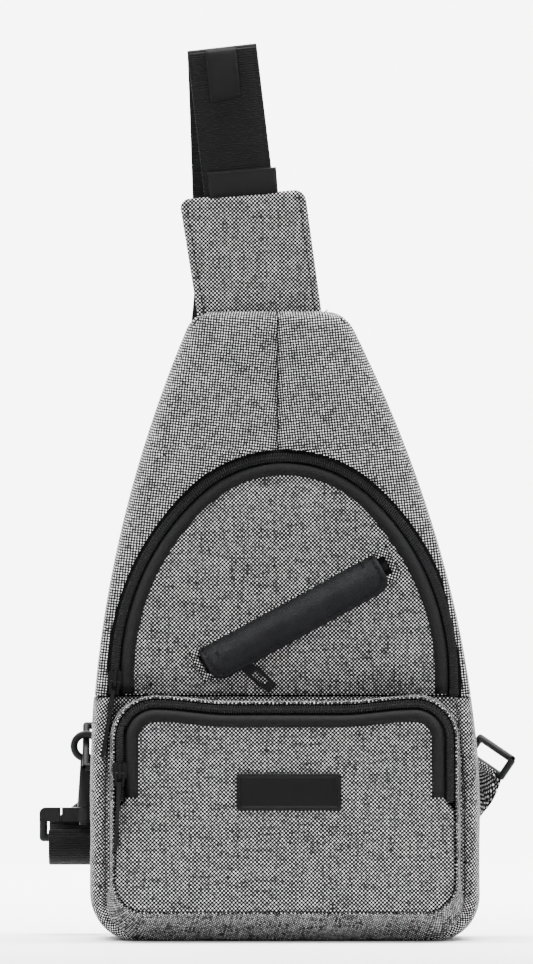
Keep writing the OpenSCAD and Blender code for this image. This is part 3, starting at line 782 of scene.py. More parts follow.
def make_lower_front():
    """The flat wall behind the front pocket, up to the seam under the front panel."""
    low = SEAM_INSET + 0.05
    high = (FOLD_V - 0.4) * cos(LEAN)
    heights = [low + (CORNER_R - low) * k / 8 for k in range(8)]
    heights += [CORNER_R + (high - 2.2 - CORNER_R) * k / 34 for k in range(35)] + [high - 1.0, high]

    def span(z):
        return inset_side_x(z, -1, SEAM_INSET), inset_side_x(z, 1, SEAM_INSET)

    def y_at(x, z, left, right):
        near_edge = min(x - left, right - x, z - low + 1)
        dip = 1.2 * (1 - blend01(near_edge / 2.5)) + 0.9 * (1 - blend01((high - z) / 2.0))
        return front_y_at(z) + dip

    wall = sheet("lower_front_cloth", *upright_rows(heights, span, eased(60), y_at), (0, 30, 70), CLOTH_T)
    return finished(wall, tweed_front_painted_shade, "root", ["lower_front"])


make_lower_front()


LINING_IN = 3.5   # how far the back's lining stays inside the bag's outline
LINING_LOW = 6    # height of the lining's lower edge
LINING_GAP = 2.8  # how far the lining lies in front of the back's face
PAD_LOW = 22
PAD_HIGH = 300
PAD_IN = 30       # how far the mesh pad stays inside the bag's outline


def back_span(inset):
    """Both edges of a sheet on the back, moved in from the bag's outline, as a function of height."""
    return lambda z: (side_x(z, -1) + inset, side_x(z, 1) - inset)


def make_back():
    """The padded back, its edge turned in at the seam all round."""
    heights = [0.6, 1.6, 4, 8, 14, 19] + [CORNER_R + (BAG_H - TOP_R - CORNER_R) * k / 60 for k in range(61)]
    heights += [BAG_H - 6, BAG_H - 3.5, BAG_H - 1.6, BAG_H - 0.6]

    def y_at(x, z, left, right):
        near = min(x - left, right - x, z * 1.2, (BAG_H - z) * 1.2)
        return BACK_Y - 0.4 + 1.8 * blend01(near / 6) + ripple(x, z, 0.7) * blend01(near / 12)

    rows = upright_rows(heights, back_span(1.4), eased(48), y_at)
    back = sheet("back_cloth", *rows, (0, 10, 160), CLOTH_T)
    return finished(back, tweed_straight, "root", ["back_panel"])


make_back()


def make_back_lining():
    """Black lining over the inside of the back."""
    high = BAG_H - 2 * LINING_IN
    heights = [LINING_LOW + (high - LINING_LOW) * i / 60 for i in range(61)]
    shares = [k / 32 for k in range(33)]

    def y_at(x, z, left, right):
        return BACK_Y - LINING_GAP + ripple(x, z, 0.5)

    rows = upright_rows(heights, back_span(LINING_IN), shares, y_at)
    lining = sheet("back_lining_cloth", *rows, (0, 90, 160), 0.4)
    return finished(lining, lining_cloth, "root")


make_back_lining()


def make_back_pad():
    """Black mesh pad on the back, its cushions parted by two sewn channels along and one across."""
    count = 90
    wide = 61
    heights = [PAD_LOW + (PAD_HIGH - PAD_LOW) * i / count for i in range(count + 1)]

    def span(z):
        return middle_x(z) - half_w(z) + PAD_IN, middle_x(z) + half_w(z) - PAD_IN

    def y_at(x, z, left, right):
        near = min(x - left, right - x, z - PAD_LOW, PAD_HIGH - z)
        centre = abs(x - (left + right) / 2)
        channel = 1 - blend01(abs(centre - 0.32 * (right - left) / 2) / 7)
        across = 1 - blend01(abs(z - PAD_LOW - (PAD_HIGH - PAD_LOW) * 0.5) / 6)
        rise = 4.2 * blend01(near / 9) - 3.0 * max(channel, across) * blend01(near / 8)
        return BACK_Y + 1.3 + max(0.1, rise)

    pad = grid("back_mesh_pad_cloth", *upright_rows(heights, span, eased(wide - 1), y_at))
    face_from(pad, (0, 10, 160))
    edge = [i * wide + k for i in range(count + 1) for k in range(wide)
            if i in (0, count) or k in (0, wide - 1)]
    creases = [v.index for v in pad.data.vertices if v.co.y < (BACK_Y + 2.9) * MM]
    puff(pad, sorted(set(edge + creases)), 3.0, 2.2)
    thicken(pad, 1.0)
    finished(pad, spacer_mesh, "root", ["back_mesh_pad"])
    ends = [PAD_LOW + (PAD_HIGH - PAD_LOW) * i / 24 for i in range(25)]
    outline = [(span(z)[1], z) for z in ends] + [(span(z)[0], z) for z in reversed(ends)]
    edging = sweep("back_pad_binding", outline, oval(4.5, 2.2, 0.3),
                   lambda x, z, n: Vector((x, BACK_Y + 1.2 + n, z)), closed=True)
    return finished(edging, binding_cloth, "root")


make_back_pad()


# ---- the front panel ----


def radial_sheet(name, edge, centre, shares, height):
    """A sheet of rings from a closed edge in to its centre; height(x, v, share) gives n."""
    points = []
    weave = []
    for share in shares:
        for x, v in edge:
            px = centre[0] + (x - centre[0]) * share
            pv = centre[1] + (v - centre[1]) * share
            points.append(front(px, pv, height(px, pv, share)))
            weave.append((px, pv))
    piece = make_piece(name, points, band_faces(len(shares), len(edge)), weave)
    with editing(piece) as edit:
        bmesh.ops.remove_doubles(edit, verts=edit.verts, dist=0.02 * MM)
        bmesh.ops.dissolve_degenerate(edit, edges=edit.edges, dist=0.001 * MM)
    return piece


def cut_slot(piece):
    """Cuts the slanted pocket's slit out of the front panel."""
    u = (slanted(1, 0) - slanted(0, 0)).normalized()
    t = (slanted(0, 1) - slanted(0, 0)).normalized()
    sides = [(SLOT_S[0], 0, -u), (SLOT_S[1], 0, u), (0, SLOT_T[0], -t), (0, SLOT_T[1], t)]
    with editing(piece) as edit:
        for s, across, normal in sides:
            near = [f for f in edit.faces if (f.calc_center_median() - slanted(1, -7) * MM).length < 0.075]
            whole = list({e for f in near for e in f.edges}) + list({v for f in near for v in f.verts}) + near
            bmesh.ops.bisect_plane(edit, geom=whole, dist=1e-6, plane_co=slanted(s, across) * MM,
                                   plane_no=normal)
        inside = []
        for face in edit.faces:
            away = face.calc_center_median() - slanted(0, 0) * MM
            s = away.dot(u) / MM
            across = away.dot(t) / MM
            if SLOT_S[0] < s < SLOT_S[1] and SLOT_T[0] < across < SLOT_T[1]:
                inside.append(face)
        bmesh.ops.delete(edit, geom=inside, context="FACES")


def slot_distance(x, v):
    """How far a point of the front is from the slanted pocket's flap and slit."""
    dx = x - SLANT_AT[0]
    dv = v - SLANT_AT[1]
    s = dx * cos(SLANT) + dv * sin(SLANT)
    t = -dx * sin(SLANT) + dv * cos(SLANT)
    away_s = max(0.0, abs(s) - 60)
    away_t = max(0.0, abs(t + 9) - 13)
    return sqrt(away_s**2 + away_t**2)


def front_panel_height(x, v, share):
    """How far the front panel stands out: a soft crown, flat round the slanted pocket."""
    edge = blend01((1 - share) / 0.22)
    foot = blend01((v - FOLD_V) / 14)
    away = blend01((slot_distance(x, v) - 2) / 34)
    dip = 0.9 * (1 - blend01((v - FOLD_V) / 2.0))
    return 2.6 * edge * foot * away + ripple(x, v, 0.7, 22) * edge * away - dip


def make_front_panel():
    edge = arch_path(0.3 - PANEL_EDGE, foot=FOLD_V + 0.4, steps=30)
    left_x = edge[-1][0]
    right_x = edge[0][0]
    edge += [(left_x + (right_x - left_x) * k / 44, FOLD_V + 0.4) for k in range(1, 44)]
    shares = [1, 0.99, 0.975, 0.955, 0.93] + [0.9 - 0.9 * k / 27 for k in range(28)]
    panel = radial_sheet("front_panel_cloth", edge, (0, 190), shares, front_panel_height)
    cut_slot(panel)
    face_from(panel, (0, 30, 190))
    thicken(panel, CLOTH_T)
    panel.data.materials.append(tweed_front_painted_shade)
    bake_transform(panel)
    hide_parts("front_panel")


make_front_panel()


# ---- zips ----

TOOTH_PITCH = 1.3


def zip_tape_piece(name, path, inner, outer, body, node=(), place=front):
    """A flat tape between two distances across a path, under the middle of the chain."""
    low = -1.6
    profile = [(outer, low + 0.5), (outer, low), (inner, low), (inner, low + 0.5)]
    return finished(sweep(name, path, profile, place), zip_tape, body, node)


def zip_teeth(name, path, side, n, body, length=2.9):
    """One row of a coil zip: a rounded loop at every pitch, leaning over the middle of the chain."""
    places = []
    for spot, along in spaced(path, TOOTH_PITCH):
        across = Vector((along.y, -along.x)) * side
        centre = spot + across * (length / 2 - 0.55) + along * (TOOTH_PITCH / 4 * side)
        origin = front(centre.x, centre.y, n)
        x_axis = (front(centre.x + across.x, centre.y + across.y, n) - origin).normalized()
        places.append((origin, x_axis, OUT.normalized()))
    teeth = many(name, capsule_shape(length, 0.56), places)
    return finished(teeth, coil_nylon, body)


def above(path, low):
    """The part of a path that lies above a level, cut off exactly there."""
    result = []
    for a, b in zip(path, path[1:]):
        if a[1] >= low:
            result.append(a)
        if (a[1] - low) * (b[1] - low) < 0:
            share = (low - a[1]) / (b[1] - a[1])
            result.append((a[0] + (b[0] - a[0]) * share, low))
    if path[-1][1] >= low:
        result.append(path[-1])
    return result


chain = arch_path(0, steps=40)
open_chain = above(chain, ZIP_FOOT_TOP)


def make_main_zip():
    zip_tape_piece("main_zip_tape_outer", chain, 0.9, TAPE_W + 0.5, "root", ["main_zip_outer"])
    zip_teeth("main_zip_teeth_outer", chain, 1, 0.1, "root")
    zip_tape_piece("main_zip_tape_inner", open_chain, -PANEL_EDGE - 1.5, -0.9, "front_panel",
                   ["main_zip_inner"])
    zip_teeth("main_zip_teeth_inner", open_chain, -1, 0.1, "front_panel")
    for side, label in ((-1, "left"), (1, "right")):
        x = ARCH_X + side * ARCH_HALF_W
        foot = [(x, FOLD_V + 0.3), (x, ARCH_V), (x, ZIP_FOOT_TOP - 0.6)]
        if side < 0:
            foot.reverse()
        zip_tape_piece("main_zip_foot_tape_" + label, foot, -PANEL_EDGE + 0.5, -0.9, "root")
        zip_teeth("main_zip_foot_teeth_" + label, foot, -1, 0.1, "root")


make_main_zip()


def rolled_binding(name, path, width, height, groove_depth, body, node, place=front):
    """Bias tape rolled over an edge: a full, rounded band with a stitched groove along it."""
    profile = [(-width / 2 + 0.3, -1.0), (width / 2 - 0.3, -1.0)]
    for k in range(15):
        share = 1 - k / 14
        across = -width / 2 + width * share
        rise = height * (1 - abs(2 * share - 1) ** 2.6)
        groove = groove_depth * (1 - blend01(abs(across + width * 0.30) / 0.7))
        profile.append((across, rise - groove))
    return finished(sweep(name, path, profile, place), binding_cloth, body, node)


def make_main_binding():
    middle = above(arch_path(-PANEL_EDGE - BINDING_W / 2 + 0.6, foot=FOLD_V + 1, steps=40), FOLD_V + 1)
    rolled_binding("front_binding_band", middle, BINDING_W + 1.4, 2.4, 0.35, "front_panel",
                   ["front_binding"])


make_main_binding()


def zip_stop():
    shape = oval(5.2, 1.6, -0.3, 16, 0.4)
    x = ARCH_X + ARCH_HALF_W
    path = [(x, FOLD_V + 0.8), (x, FOLD_V + 1.0), (x, FOLD_V + 3.0), (x, FOLD_V + 3.2)]
    stop = sweep("main_zip_stop_metal", path, shape, front)
    return finished(stop, painted_metal, "root", ["main_zip_stop"])


zip_stop()


# ---- the front pocket ----

GUSSET_RIM = 2.9
POCKET_ZIP_FOOT = 74
SIDE_FLARE = 0.4
TOP_FLARE = 0.8
BOTTOM_FLARE = 10.5


def pocket_out(path, k):
    """Outward direction of the closed pocket outline at its point k."""
    along = Vector(path[(k + 1) % len(path)]) - Vector(path[k - 1])
    return Vector((along.y, -along.x)).normalized()


def make_pocket_gusset():
    rim = pocket_path(GUSSET_RIM)
    lip = ((0.0, 18.2), (0.0, 19.6), (0.3, 20.4), (0.8, 20.5), (1.3, 20.1), (1.7, 19.2))
    sections = [(out_mm, 0.0, n) for out_mm, n in lip]
    sections += [(1.9, k / 12, 19.2 * (1 - k / 12) + 0.1) for k in range(1, 13)] + [(1.9, 1.06, -0.8)]
    rows = []
    weave = []
    marks = lengths(rim + rim[:1])
    for out_mm, flare_share, n in sections:
        row = []
        for k, (x, v) in enumerate(rim):
            out = pocket_out(rim, k)
            flare = SIDE_FLARE * abs(out.x) + (TOP_FLARE if out.y > 0 else BOTTOM_FLARE) * abs(out.y)
            swell = (0.5 + ripple(marks[k], n, 0.8, 18)) * sin(pi * min(flare_share, 1.0))
            lie = out_mm + flare * flare_share**1.15 + swell
            row.append(front(x + out.x * lie, v + out.y * lie, n))
        rows.append(row + row[:1])
        weave.append([(mark, n - lie) for mark in marks])
    gusset = sheet("pocket_gusset_cloth", rows, weave, front(0, 70, 8), 1.2)
    return finished(gusset, tweed_band_painted_shade, "root", ["pocket_gusset"])


make_pocket_gusset()


def pocket_panel_edge():
    """Edge of the pocket's face: inside the zip above its feet, and out to the seam below them."""
    inner = pocket_path(0.3 - PANEL_EDGE)
    outer = pocket_path(GUSSET_RIM - 0.5)
    result = []
    for (x_in, v_in), (x_out, v_out) in zip(inner, outer):
        share = blend01((v_in - 68) / 9)
        result.append((x_out + (x_in - x_out) * share, v_out + (v_in - v_out) * share))
    return result


def pocket_face_height(x, v, share):
    edge = blend01((1 - share) / 0.3)
    seam = 1.5 * (1 - blend01((1 - share) / 0.018)) * (1 - blend01((v - 70) / 6))
    return POCKET_D + 1.3 * edge + ripple(x, v, 0.6, 24) * edge - seam


def make_pocket_panel():
    shares = [1, 0.993, 0.982, 0.965, 0.94] + [0.91 - 0.91 * k / 24 for k in range(25)]
    panel = radial_sheet("pocket_panel_cloth", pocket_panel_edge(), (0, 70), shares,
                         pocket_face_height)
    face_from(panel, (0, 30, 70))
    edge_count = len(pocket_panel_edge())
    puff(panel, list(range(edge_count * 3)), 1.2, 3.2)
    return panel


pocket_face = make_pocket_panel()


def height_of(piece, x, v):
    """How far a piece's surface stands out of the front near a point of it, in mm."""
    best = None
    for vertex in piece.data.vertices:
        place = vertex.co / MM
        away = place - front(x, v, 0)
        out = away.dot(OUT)
        miss = (away - OUT * out).length
        if best is None or miss < best[0]:
            best = (miss, out)
    return best[1]


patch_lift = max(height_of(pocket_face, x, v) for x in (-24, 2, 28) for v in (69, 78, 88))
thicken(pocket_face, CLOTH_T)
pocket_face.data.materials.append(tweed_front_painted_shade)
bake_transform(pocket_face)
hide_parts("pocket_panel", "pocket_panel_lower")


def on_pocket(x, v, n):
    return front(x, v, POCKET_D + n)


def pocket_zip_path(grow, low_left, low_right):
    """The pocket's zip from its right foot over the top to its left foot."""
    outline = pocket_path(grow)
    half = len(outline) // 2
    right = [p for p in outline[:half + 1] if p[0] >= 0]
    path = [p for p in right if p[1] >= low_right]
    path = [(POCKET_HALF_W + grow, low_right)] + path
    left = [(-x, v) for x, v in reversed([p for p in right if p[1] >= low_left])]
    return path + left[1:] + [(-(POCKET_HALF_W + grow), low_left)]


def make_pocket_zip():
    whole = pocket_zip_path(0, POCKET_ZIP_FOOT, POCKET_ZIP_FOOT)
    moving = pocket_zip_path(0, POCKET_STUB_TOP, POCKET_ZIP_FOOT)
    stub = [(-POCKET_HALF_W, v) for v in (POCKET_STUB_TOP - 0.6, 95, POCKET_ZIP_FOOT)]
    parts = [
        ("tape_outer", "teeth_outer", whole, 1, "root", ["pocket_zip_outer"]),
        ("tape_inner", "teeth_inner", moving, -1, "pocket_panel", ["pocket_zip_inner"]),
        ("stub_tape", "stub_teeth", stub, -1, "root", ()),
    ]
    for tape, teeth, path, side, body, node in parts:
        inner, outer = (0.9, TAPE_W + 1.0) if side > 0 else (-PANEL_EDGE - 1.0, -0.9)
        zip_tape_piece("pocket_zip_" + tape, path, inner, outer, body, node, on_pocket)
    for tape, teeth, path, side, body, node in parts:
        zip_teeth("pocket_zip_" + teeth, path, side, POCKET_D + 0.1, body, 2.6)


make_pocket_zip()


def make_pocket_binding():
    path = pocket_zip_path(-PANEL_EDGE - BINDING_W / 2 + 0.9, 76, 76)
    rolled_binding("pocket_binding_band", path, BINDING_W + 1.0, 2.6, 0, "pocket_panel", ["pocket_binding"],
                   on_pocket)


make_pocket_binding()


def make_rubber_patch():
    """A blank rubber patch with a raised rim and rounded corners."""
    middle = (2, 78.6)
    half_x = 28.0
    half_v = 10.0
    rings = [
        (0.0, -0.6), (0.0, 1.5), (0.25, 2.0), (0.7, 2.25), (1.5, 2.25), (1.9, 2.0),
        (2.1, 1.55), (2.4, 1.35), (3.0, 1.3), (6.0, 1.3), (9.4, 1.3),
    ]
    points = []
    weave = []
    for inset, n in rings:
        r = max(1.6 - inset * 0.5, 0.4)
        for cx, cv, start in ((1, 1, 0), (-1, 1, 90), (-1, -1, 180), (1, -1, 270)):
            x0 = cx * (half_x - inset - r)
            v0 = cv * (half_v - inset - r)
            for x, v in arc(x0, v0, r, start, start + 90, 6):
                points.append(front(middle[0] + x, middle[1] + v, patch_lift + n))
                weave.append((x, v))
    faces = band_faces(len(rings), len(points) // len(rings), caps=True)
    patch = make_piece("rubber_patch_blank", points, faces, weave)
    return finished(patch, rubber, "pocket_panel", ["rubber_patch"])


make_rubber_patch()


# ---- the slanted pocket ----


def make_slant_welt():
    """Folded cloth edges round the slit, stitched down."""
    s0, s1 = SLOT_S
    t0, t1 = SLOT_T
    mid = Vector((s0 + s1, t0 + t1)) / 2
    corners = [Vector(c) for c in ((s0, t0), (s1, t0), (s1, t1), (s0, t1))]
    path = []
    for a, b in zip(corners, corners[1:] + corners[:1]):
        steps = max(2, round((b - a).length / 5))
        path += [a.lerp(b, i / steps) for i in range(steps)]
    profile = [(0.0, -1.9), (-0.3, -0.5), (0.1, 0.15), (1.0, 0.45), (2.4, 0.45), (3.3, 0.25), (3.7, -0.2)]
    rows = []
    weave = []
    for across, n in profile:
        grow_s = 1 + across / ((s1 - s0) / 2)
        grow_t = 1 + across / ((t1 - t0) / 2)
        flat = [(mid.x + (p.x - mid.x) * grow_s, mid.y + (p.y - mid.y) * grow_t) for p in path]
        rows.append([slanted(s, t, n) for s, t in flat])
        weave.append(flat)
    welt = grid("slant_welt_cloth", rows, weave, closed=True)
    face_from(welt, slanted(0, -7, -30))
    finished(welt, tweed_front_painted_shade, "front_panel", ["slant_welt"])


def make_slant_zip():
    mid = (SLOT_T[0] + SLOT_T[1]) / 2
    long = SLOT_S[1] - SLOT_S[0]
    n = SLANT_ZIP_N
    for part, (low, high) in enumerate(((SLOT_T[0] - 2.5, mid - 0.8), (mid + 0.8, SLOT_T[1] + 2.5))):
        stations = [SLOT_S[0] - 1 + (long + 2) * k / 46 for k in range(47)]
        lines = [low + (high - low) * j / 6 for j in range(7)]
        rows = [[slanted(s, across, n - 0.5) for across in lines] for s in stations]
        weave = [[(across, s) for across in lines] for s in stations]
        tape = sheet("slant_zip_tape_" + str(part), rows, weave, slanted(0, mid, -30), 0.6)
        finished(tape, zip_tape, "front_panel", ["slant_zip"])
    places = []
    across = (slanted(0, 1) - slanted(0, 0)).normalized()
    for k in range(round(long / TOOTH_PITCH)):
        for side in (-1, 1):
            s = SLOT_S[0] + TOOTH_PITCH * (k + 0.25 + 0.25 * side)
            origin = slanted(s, mid + side * 0.85, n + 0.1)
            places.append((origin, across * side, OUT.normalized()))
    teeth = many("slant_zip_teeth", capsule_shape(2.6, 0.52), places)
    finished(teeth, coil_nylon, "front_panel")


FLAP_TOP = 0.6


def flap_outline(inset):
    """The flap's edge from its top right corner round below to its top left corner: (s, t)."""
    half = 54.5 - inset
    low = -20 + inset
    r = 7.5 - inset * 0.6
    points = [(half, FLAP_TOP - 5.5 * k / 6) for k in range(6)]
    points += arc(half - r, low + r, r, 0, -90, 10)
    points += [(half - r - (2 * half - 2 * r) * k / 40, low) for k in range(1, 40)]
    points += arc(-half + r, low + r, r, -90, -180, 10)
    points += [(-half, -4.9 + 5.5 * k / 5) for k in range(6)]
    return points


def flap_height(s, t):
    """The flap lifts off the slit in a low arch, and its left end curls up a little."""
    lift = 3.4 * blend01(-t / 9)
    curl = 1.0 * blend01((-s - 34) / 22) * blend01(-t / 14)
    return 1.5 + lift + curl


def make_flap():
    """The flap's leather with its rolled edge and sewn groove, and the lining under it."""
    rings = [(0.5, -0.75), (0.15, -0.35), (0.0, 0.1), (0.15, 0.5), (0.5, 0.8), (1.1, 0.95), (2.0, 0.95),
             (2.5, 0.72), (2.9, 0.72), (3.4, 0.95), (5.0, 1.05), (7.0, 1.1), (9.2, 1.12)]
    weave = [flap_outline(inset) for inset, n in rings]
    levels = [n for inset, n in rings]
    for share in (0.2, 0.4, 0.6, 0.8, 0.9, 1.0):
        weave.append([(s, t + (FLAP_TOP - t) * share) for s, t in weave[len(rings) - 1]])
        levels.append(1.12 - 0.12 * share)
    rows = [[slanted(s, t, flap_height(s, t) + n) for s, t in line] for line, n in zip(weave, levels)]
    flap = grid("leather_flap_skin", rows, weave)
    face_from(flap, slanted(0, -8, -30))
    back_weave = []
    for k in range(49):
        s = -54 + 108 * k / 48
        bottom = -19.6
        if abs(s) > 47:
            bottom = -12.5 - sqrt(max(0.0, 7.0**2 - (abs(s) - 47) ** 2))
        back_weave.append([(s, FLAP_TOP + (bottom - FLAP_TOP) * j / 8) for j in range(9)])
    back_rows = [[slanted(s, t, flap_height(s, t) - 0.75) for s, t in line] for line in back_weave]
    lining = grid("leather_flap_lining", back_rows, back_weave)
    face_from(lining, slanted(0, -8, 60))
    finished(flap, leather, "leather_flap", ["leather_flap"])
    finished(lining, lining_cloth, "leather_flap")


make_slant_welt()
make_slant_zip()
make_flap()

flap_seam = [slanted(s, t, flap_height(s, t) + 1.0) for s, t in flap_outline(2.7)]
stitches("leather_flap_stitches", [(flap_seam, OUT.normalized())], thread, "leather_flap", 2.4, 3.4, 0.3)

welt_lines = []
for t in (SLOT_T[0] - 2.9, SLOT_T[1] + 2.9):
    welt_lines.append(([slanted(s, t, 0.42) for s in range(-58, 62, 3)], OUT.normalized()))
for s in (SLOT_S[0] - 2.9, SLOT_S[1] + 2.9):
    welt_lines.append(([slanted(s, t, 0.42) for t in (-15.5, -12, -7, -2, 0.9)], OUT.normalized()))
stitches("slant_welt_stitches", welt_lines, thread, "front_panel", 2.2, 3.4, 0.22)


# ---- the padded tab ----

TAB_CORNERS = [(-47.5, 338), (20.2, 338), (10.8, 406.5), (-57.5, 401)]
TAB_MID_Y = 30
TAB_HALF = 2.4
TAB_W = 67.7
TAB_TALL = 66
TAB_R = 6
TAB_SEAM = 3.6    # from the tab's sides to its stitches


def tab_place(u, w):
    """A point of the tab: u from 0 to 1 across it, w from 0 to 1 up it."""
    low = Vector(TAB_CORNERS[0]).lerp(Vector(TAB_CORNERS[1]), u)
    high = Vector(TAB_CORNERS[3]).lerp(Vector(TAB_CORNERS[2]), u)
    return low.lerp(high, w)


def tab_point(u, w, face):
    """A point of the tab's front (1) or back (-1) skin, with rounded top corners and sides."""
    place = tab_place(u, w)
    side_mm = min(u, 1 - u) * TAB_W
    top_mm = (1 - w) * TAB_TALL
    if top_mm < TAB_R and side_mm < TAB_R:
        reach = sqrt((TAB_R - side_mm) ** 2 + (TAB_R - top_mm) ** 2)
        pull = max(0.0, reach - TAB_R) * 0.72
        place.x += pull * (1 if u < 0.5 else -1)
        place.y -= pull
    near = min(side_mm, top_mm)
    fat = TAB_HALF * sqrt(max(0.0, 1 - (1 - min(near / 2.2, 1.0)) ** 2))
    groove = 0.8 * (1 - blend01(abs(side_mm - TAB_SEAM) / 0.9)) * blend01(side_mm)
    return place.x, TAB_MID_Y - face * (fat - groove), place.y


def make_tab():
    """Front and back of the tab in one closed skin."""
    up = 40
    rows = []
    for face in (1, -1):
        rows += [[tab_point(u, i / up, face) for u in eased(34)] for i in range(up + 1)]
    wide = len(rows[0])
    skin = band_faces(up + 1, wide, closed=False)
    faces = skin + [tuple(k + (up + 1) * wide for k in face[::-1]) for face in skin]
    points = [p for row in rows for p in row]
    tab = make_piece("strap_tab_cloth", points, faces, [(p[0], p[2]) for p in points])
    with editing(tab) as edit:
        bmesh.ops.remove_doubles(edit, verts=edit.verts, dist=0.01 * MM)
    outward(tab)
    pinned = []
    for vertex in tab.data.vertices:
        low = vertex.co.z < 342 * MM
        thin = abs(vertex.co.y - TAB_MID_Y * MM) < (TAB_HALF - 0.25) * MM
        if low or thin:
            pinned.append(vertex.index)
    puff(tab, pinned, 1.5, 1.4)
    finished(tab, tweed_straight, "root", ["strap_tab"])


make_tab()

FACE_FRONT = Vector((0, -1, 0))
tab_lines = []
for u in (TAB_SEAM / TAB_W, 1 - TAB_SEAM / TAB_W):
    line = [tab_place(u, 0.04 + 0.9 * k / 23) for k in range(24)]
    tab_lines.append(([Vector((p.x, TAB_MID_Y - TAB_HALF + 0.45, p.y)) for p in line], FACE_FRONT))
stitches("strap_tab_stitches", tab_lines, thread, "root", 2.6, 3.6, 0.26)


# ---- the webbing ----


def ribbon(name, stations, material, body, replaces=(), thickness=WEB_T, width=WEB_W):
    """Webbing through stations of (middle point, across, out); its edges are rounded."""
    half = width / 2
    t = thickness / 2
    right = [(0, -t), (half * 0.5, -t), (half - 0.5, -t), (half - 0.1, -t * 0.5),
             (half, 0), (half - 0.1, t * 0.5), (half - 0.5, t), (half * 0.5, t)]
    profile = right + [(-a, -o) for a, o in right]
    points = []
    weave = []
    marks = lengths([middle for middle, across, out in stations])
    for run, (middle, across, out) in zip(marks, stations):
        points += [middle + across * a + out * o for a, o in profile]
        weave += [(a, run) for a, o in profile]
    piece = make_piece(name, points, band_faces(len(stations), len(profile), caps=True), weave)
    return finished(outward(piece), material, body, replaces)


def strap_rear_y(z):
    return STRAP_Y0 - z * STRAP_SLOPE - WEB_T / 2


FOLD_X = -34
FOLD_R = 3.3
FOLD_LEAN = radians(6.4)
KNEE = (-30, 337)
HIP = (-84, 90)
LOW = (-110, 50)
STEP_H = 20


def strap_front_run(y):
    """Up from the tab to the fold, leaning over as it rises."""
    low = Vector((-23.3, 392.0))
    high = Vector((FOLD_X, STRAP_TOP - FOLD_R))
    stations = []
    for k in range(25):
        share = k / 24
        middle = low.lerp(high, share)
        lean = -FOLD_LEAN * share - radians(4.6) * (1 - share)
        place = Vector((middle.x, y - 0.7 * sin(pi * share), middle.y))
        stations.append((place, Vector((cos(lean), 0, -sin(lean))), Vector((0, -1, 0))))
    return stations


def strap_fold(y):
    """Over the fold at the top, from front to back."""
    across = Vector((cos(FOLD_LEAN), 0, sin(FOLD_LEAN)))
    up = Vector((-sin(FOLD_LEAN), 0, cos(FOLD_LEAN)))
    middle = Vector((FOLD_X, y, STRAP_TOP - FOLD_R))
    stations = []
    for k in range(1, 12):
        a = pi * k / 12
        out = Vector((0, -cos(a), 0)) + up * sin(a)
        stations.append((middle + out * (FOLD_R - WEB_T / 2), across, out.normalized()))
    return stations


def strap_rear_run():
    """Down behind the bag, then a step to the left over to the hook."""
    route = [(FOLD_X, STRAP_TOP - FOLD_R - 1), (-33, 455), (-31.2, 400), (-30, 360)]
    route += bend_points(Vector((-30, 360)), Vector(KNEE), Vector(HIP), 30)
    route += bend_points(Vector(KNEE), Vector(HIP), Vector((HIP[0], 60)), 9)
    out = Vector((0, 1, STRAP_SLOPE))
    stations = []
    for spot, along in spaced(route, 6.0):
        across = Vector((-along.y, 0, along.x)).normalized()
        stations.append((Vector((spot.x, strap_rear_y(spot.y), spot.y)), across, out.normalized()))
    for k in range(9):
        share = k / 8
        x = HIP[0] + (LOW[0] - HIP[0]) * share
        z = LOW[1] + 10 + STEP_H * (1 - share)
        stations.append((Vector((x, strap_rear_y(z), z)), Vector((1, 0, 0)), out))
    return stations


def strap_stations():
    """The whole strap: up from the tab, over the fold, down behind the bag and over to the hook."""
    fold_y = STRAP_BACK_Y - FOLD_R + WEB_T / 2
    return strap_front_run(fold_y - FOLD_R + WEB_T / 2) + strap_fold(fold_y) + strap_rear_run()


def bend_points(a, b, c, r):
    """A rounded corner at b between the lines from a and to c."""
    start = b + (a - b).normalized() * r
    end = b + (c - b).normalized() * r
    result = []
    for k in range(9):
        t = k / 8
        result.append(tuple(start * (1 - t) ** 2 + b * 2 * t * (1 - t) + end * t**2))
    return result


def half_turn(middle, r, start, steps):
    """Stations half round a bar along X, from an angle in degrees."""
    stations = []
    for k in range(steps + 1):
        a = radians(start - 180 * k / steps)
        out = Vector((0, cos(a), sin(a)))
        stations.append((middle + out * r, Vector((1, 0, 0)), out))
    return stations


def hook_loop_stations():
    """Where the strap ends: under the hook, in front of it and round its bar."""
    turn = 2.2 + 0.6 + WEB_T / 2
    front_run = HOOK[1] - turn
    rear = strap_rear_y(LOW[1])
    r = (rear - front_run) / 2
    x = LOW[0]
    across = Vector((1, 0, 0))
    back = Vector((0, 1, 0))
    stations = [(Vector((x, rear - 0.6, 62)), across, back)]
    stations += half_turn(Vector((x, front_run + r, LOW[1])), r, 0, 16)
    stations += half_turn(Vector((x, HOOK[1], HOOK_BAR_Z)), turn, 180, 12)
    return stations + [(Vector((x, HOOK[1] + turn, HOOK_BAR_Z - 7)), across, back)]


ribbon("shoulder_strap_web", strap_stations(), webbing, "root", ["shoulder_strap"])
ribbon("shoulder_strap_hook_loop", hook_loop_stations(), webbing, "root")


# ---- labels ----


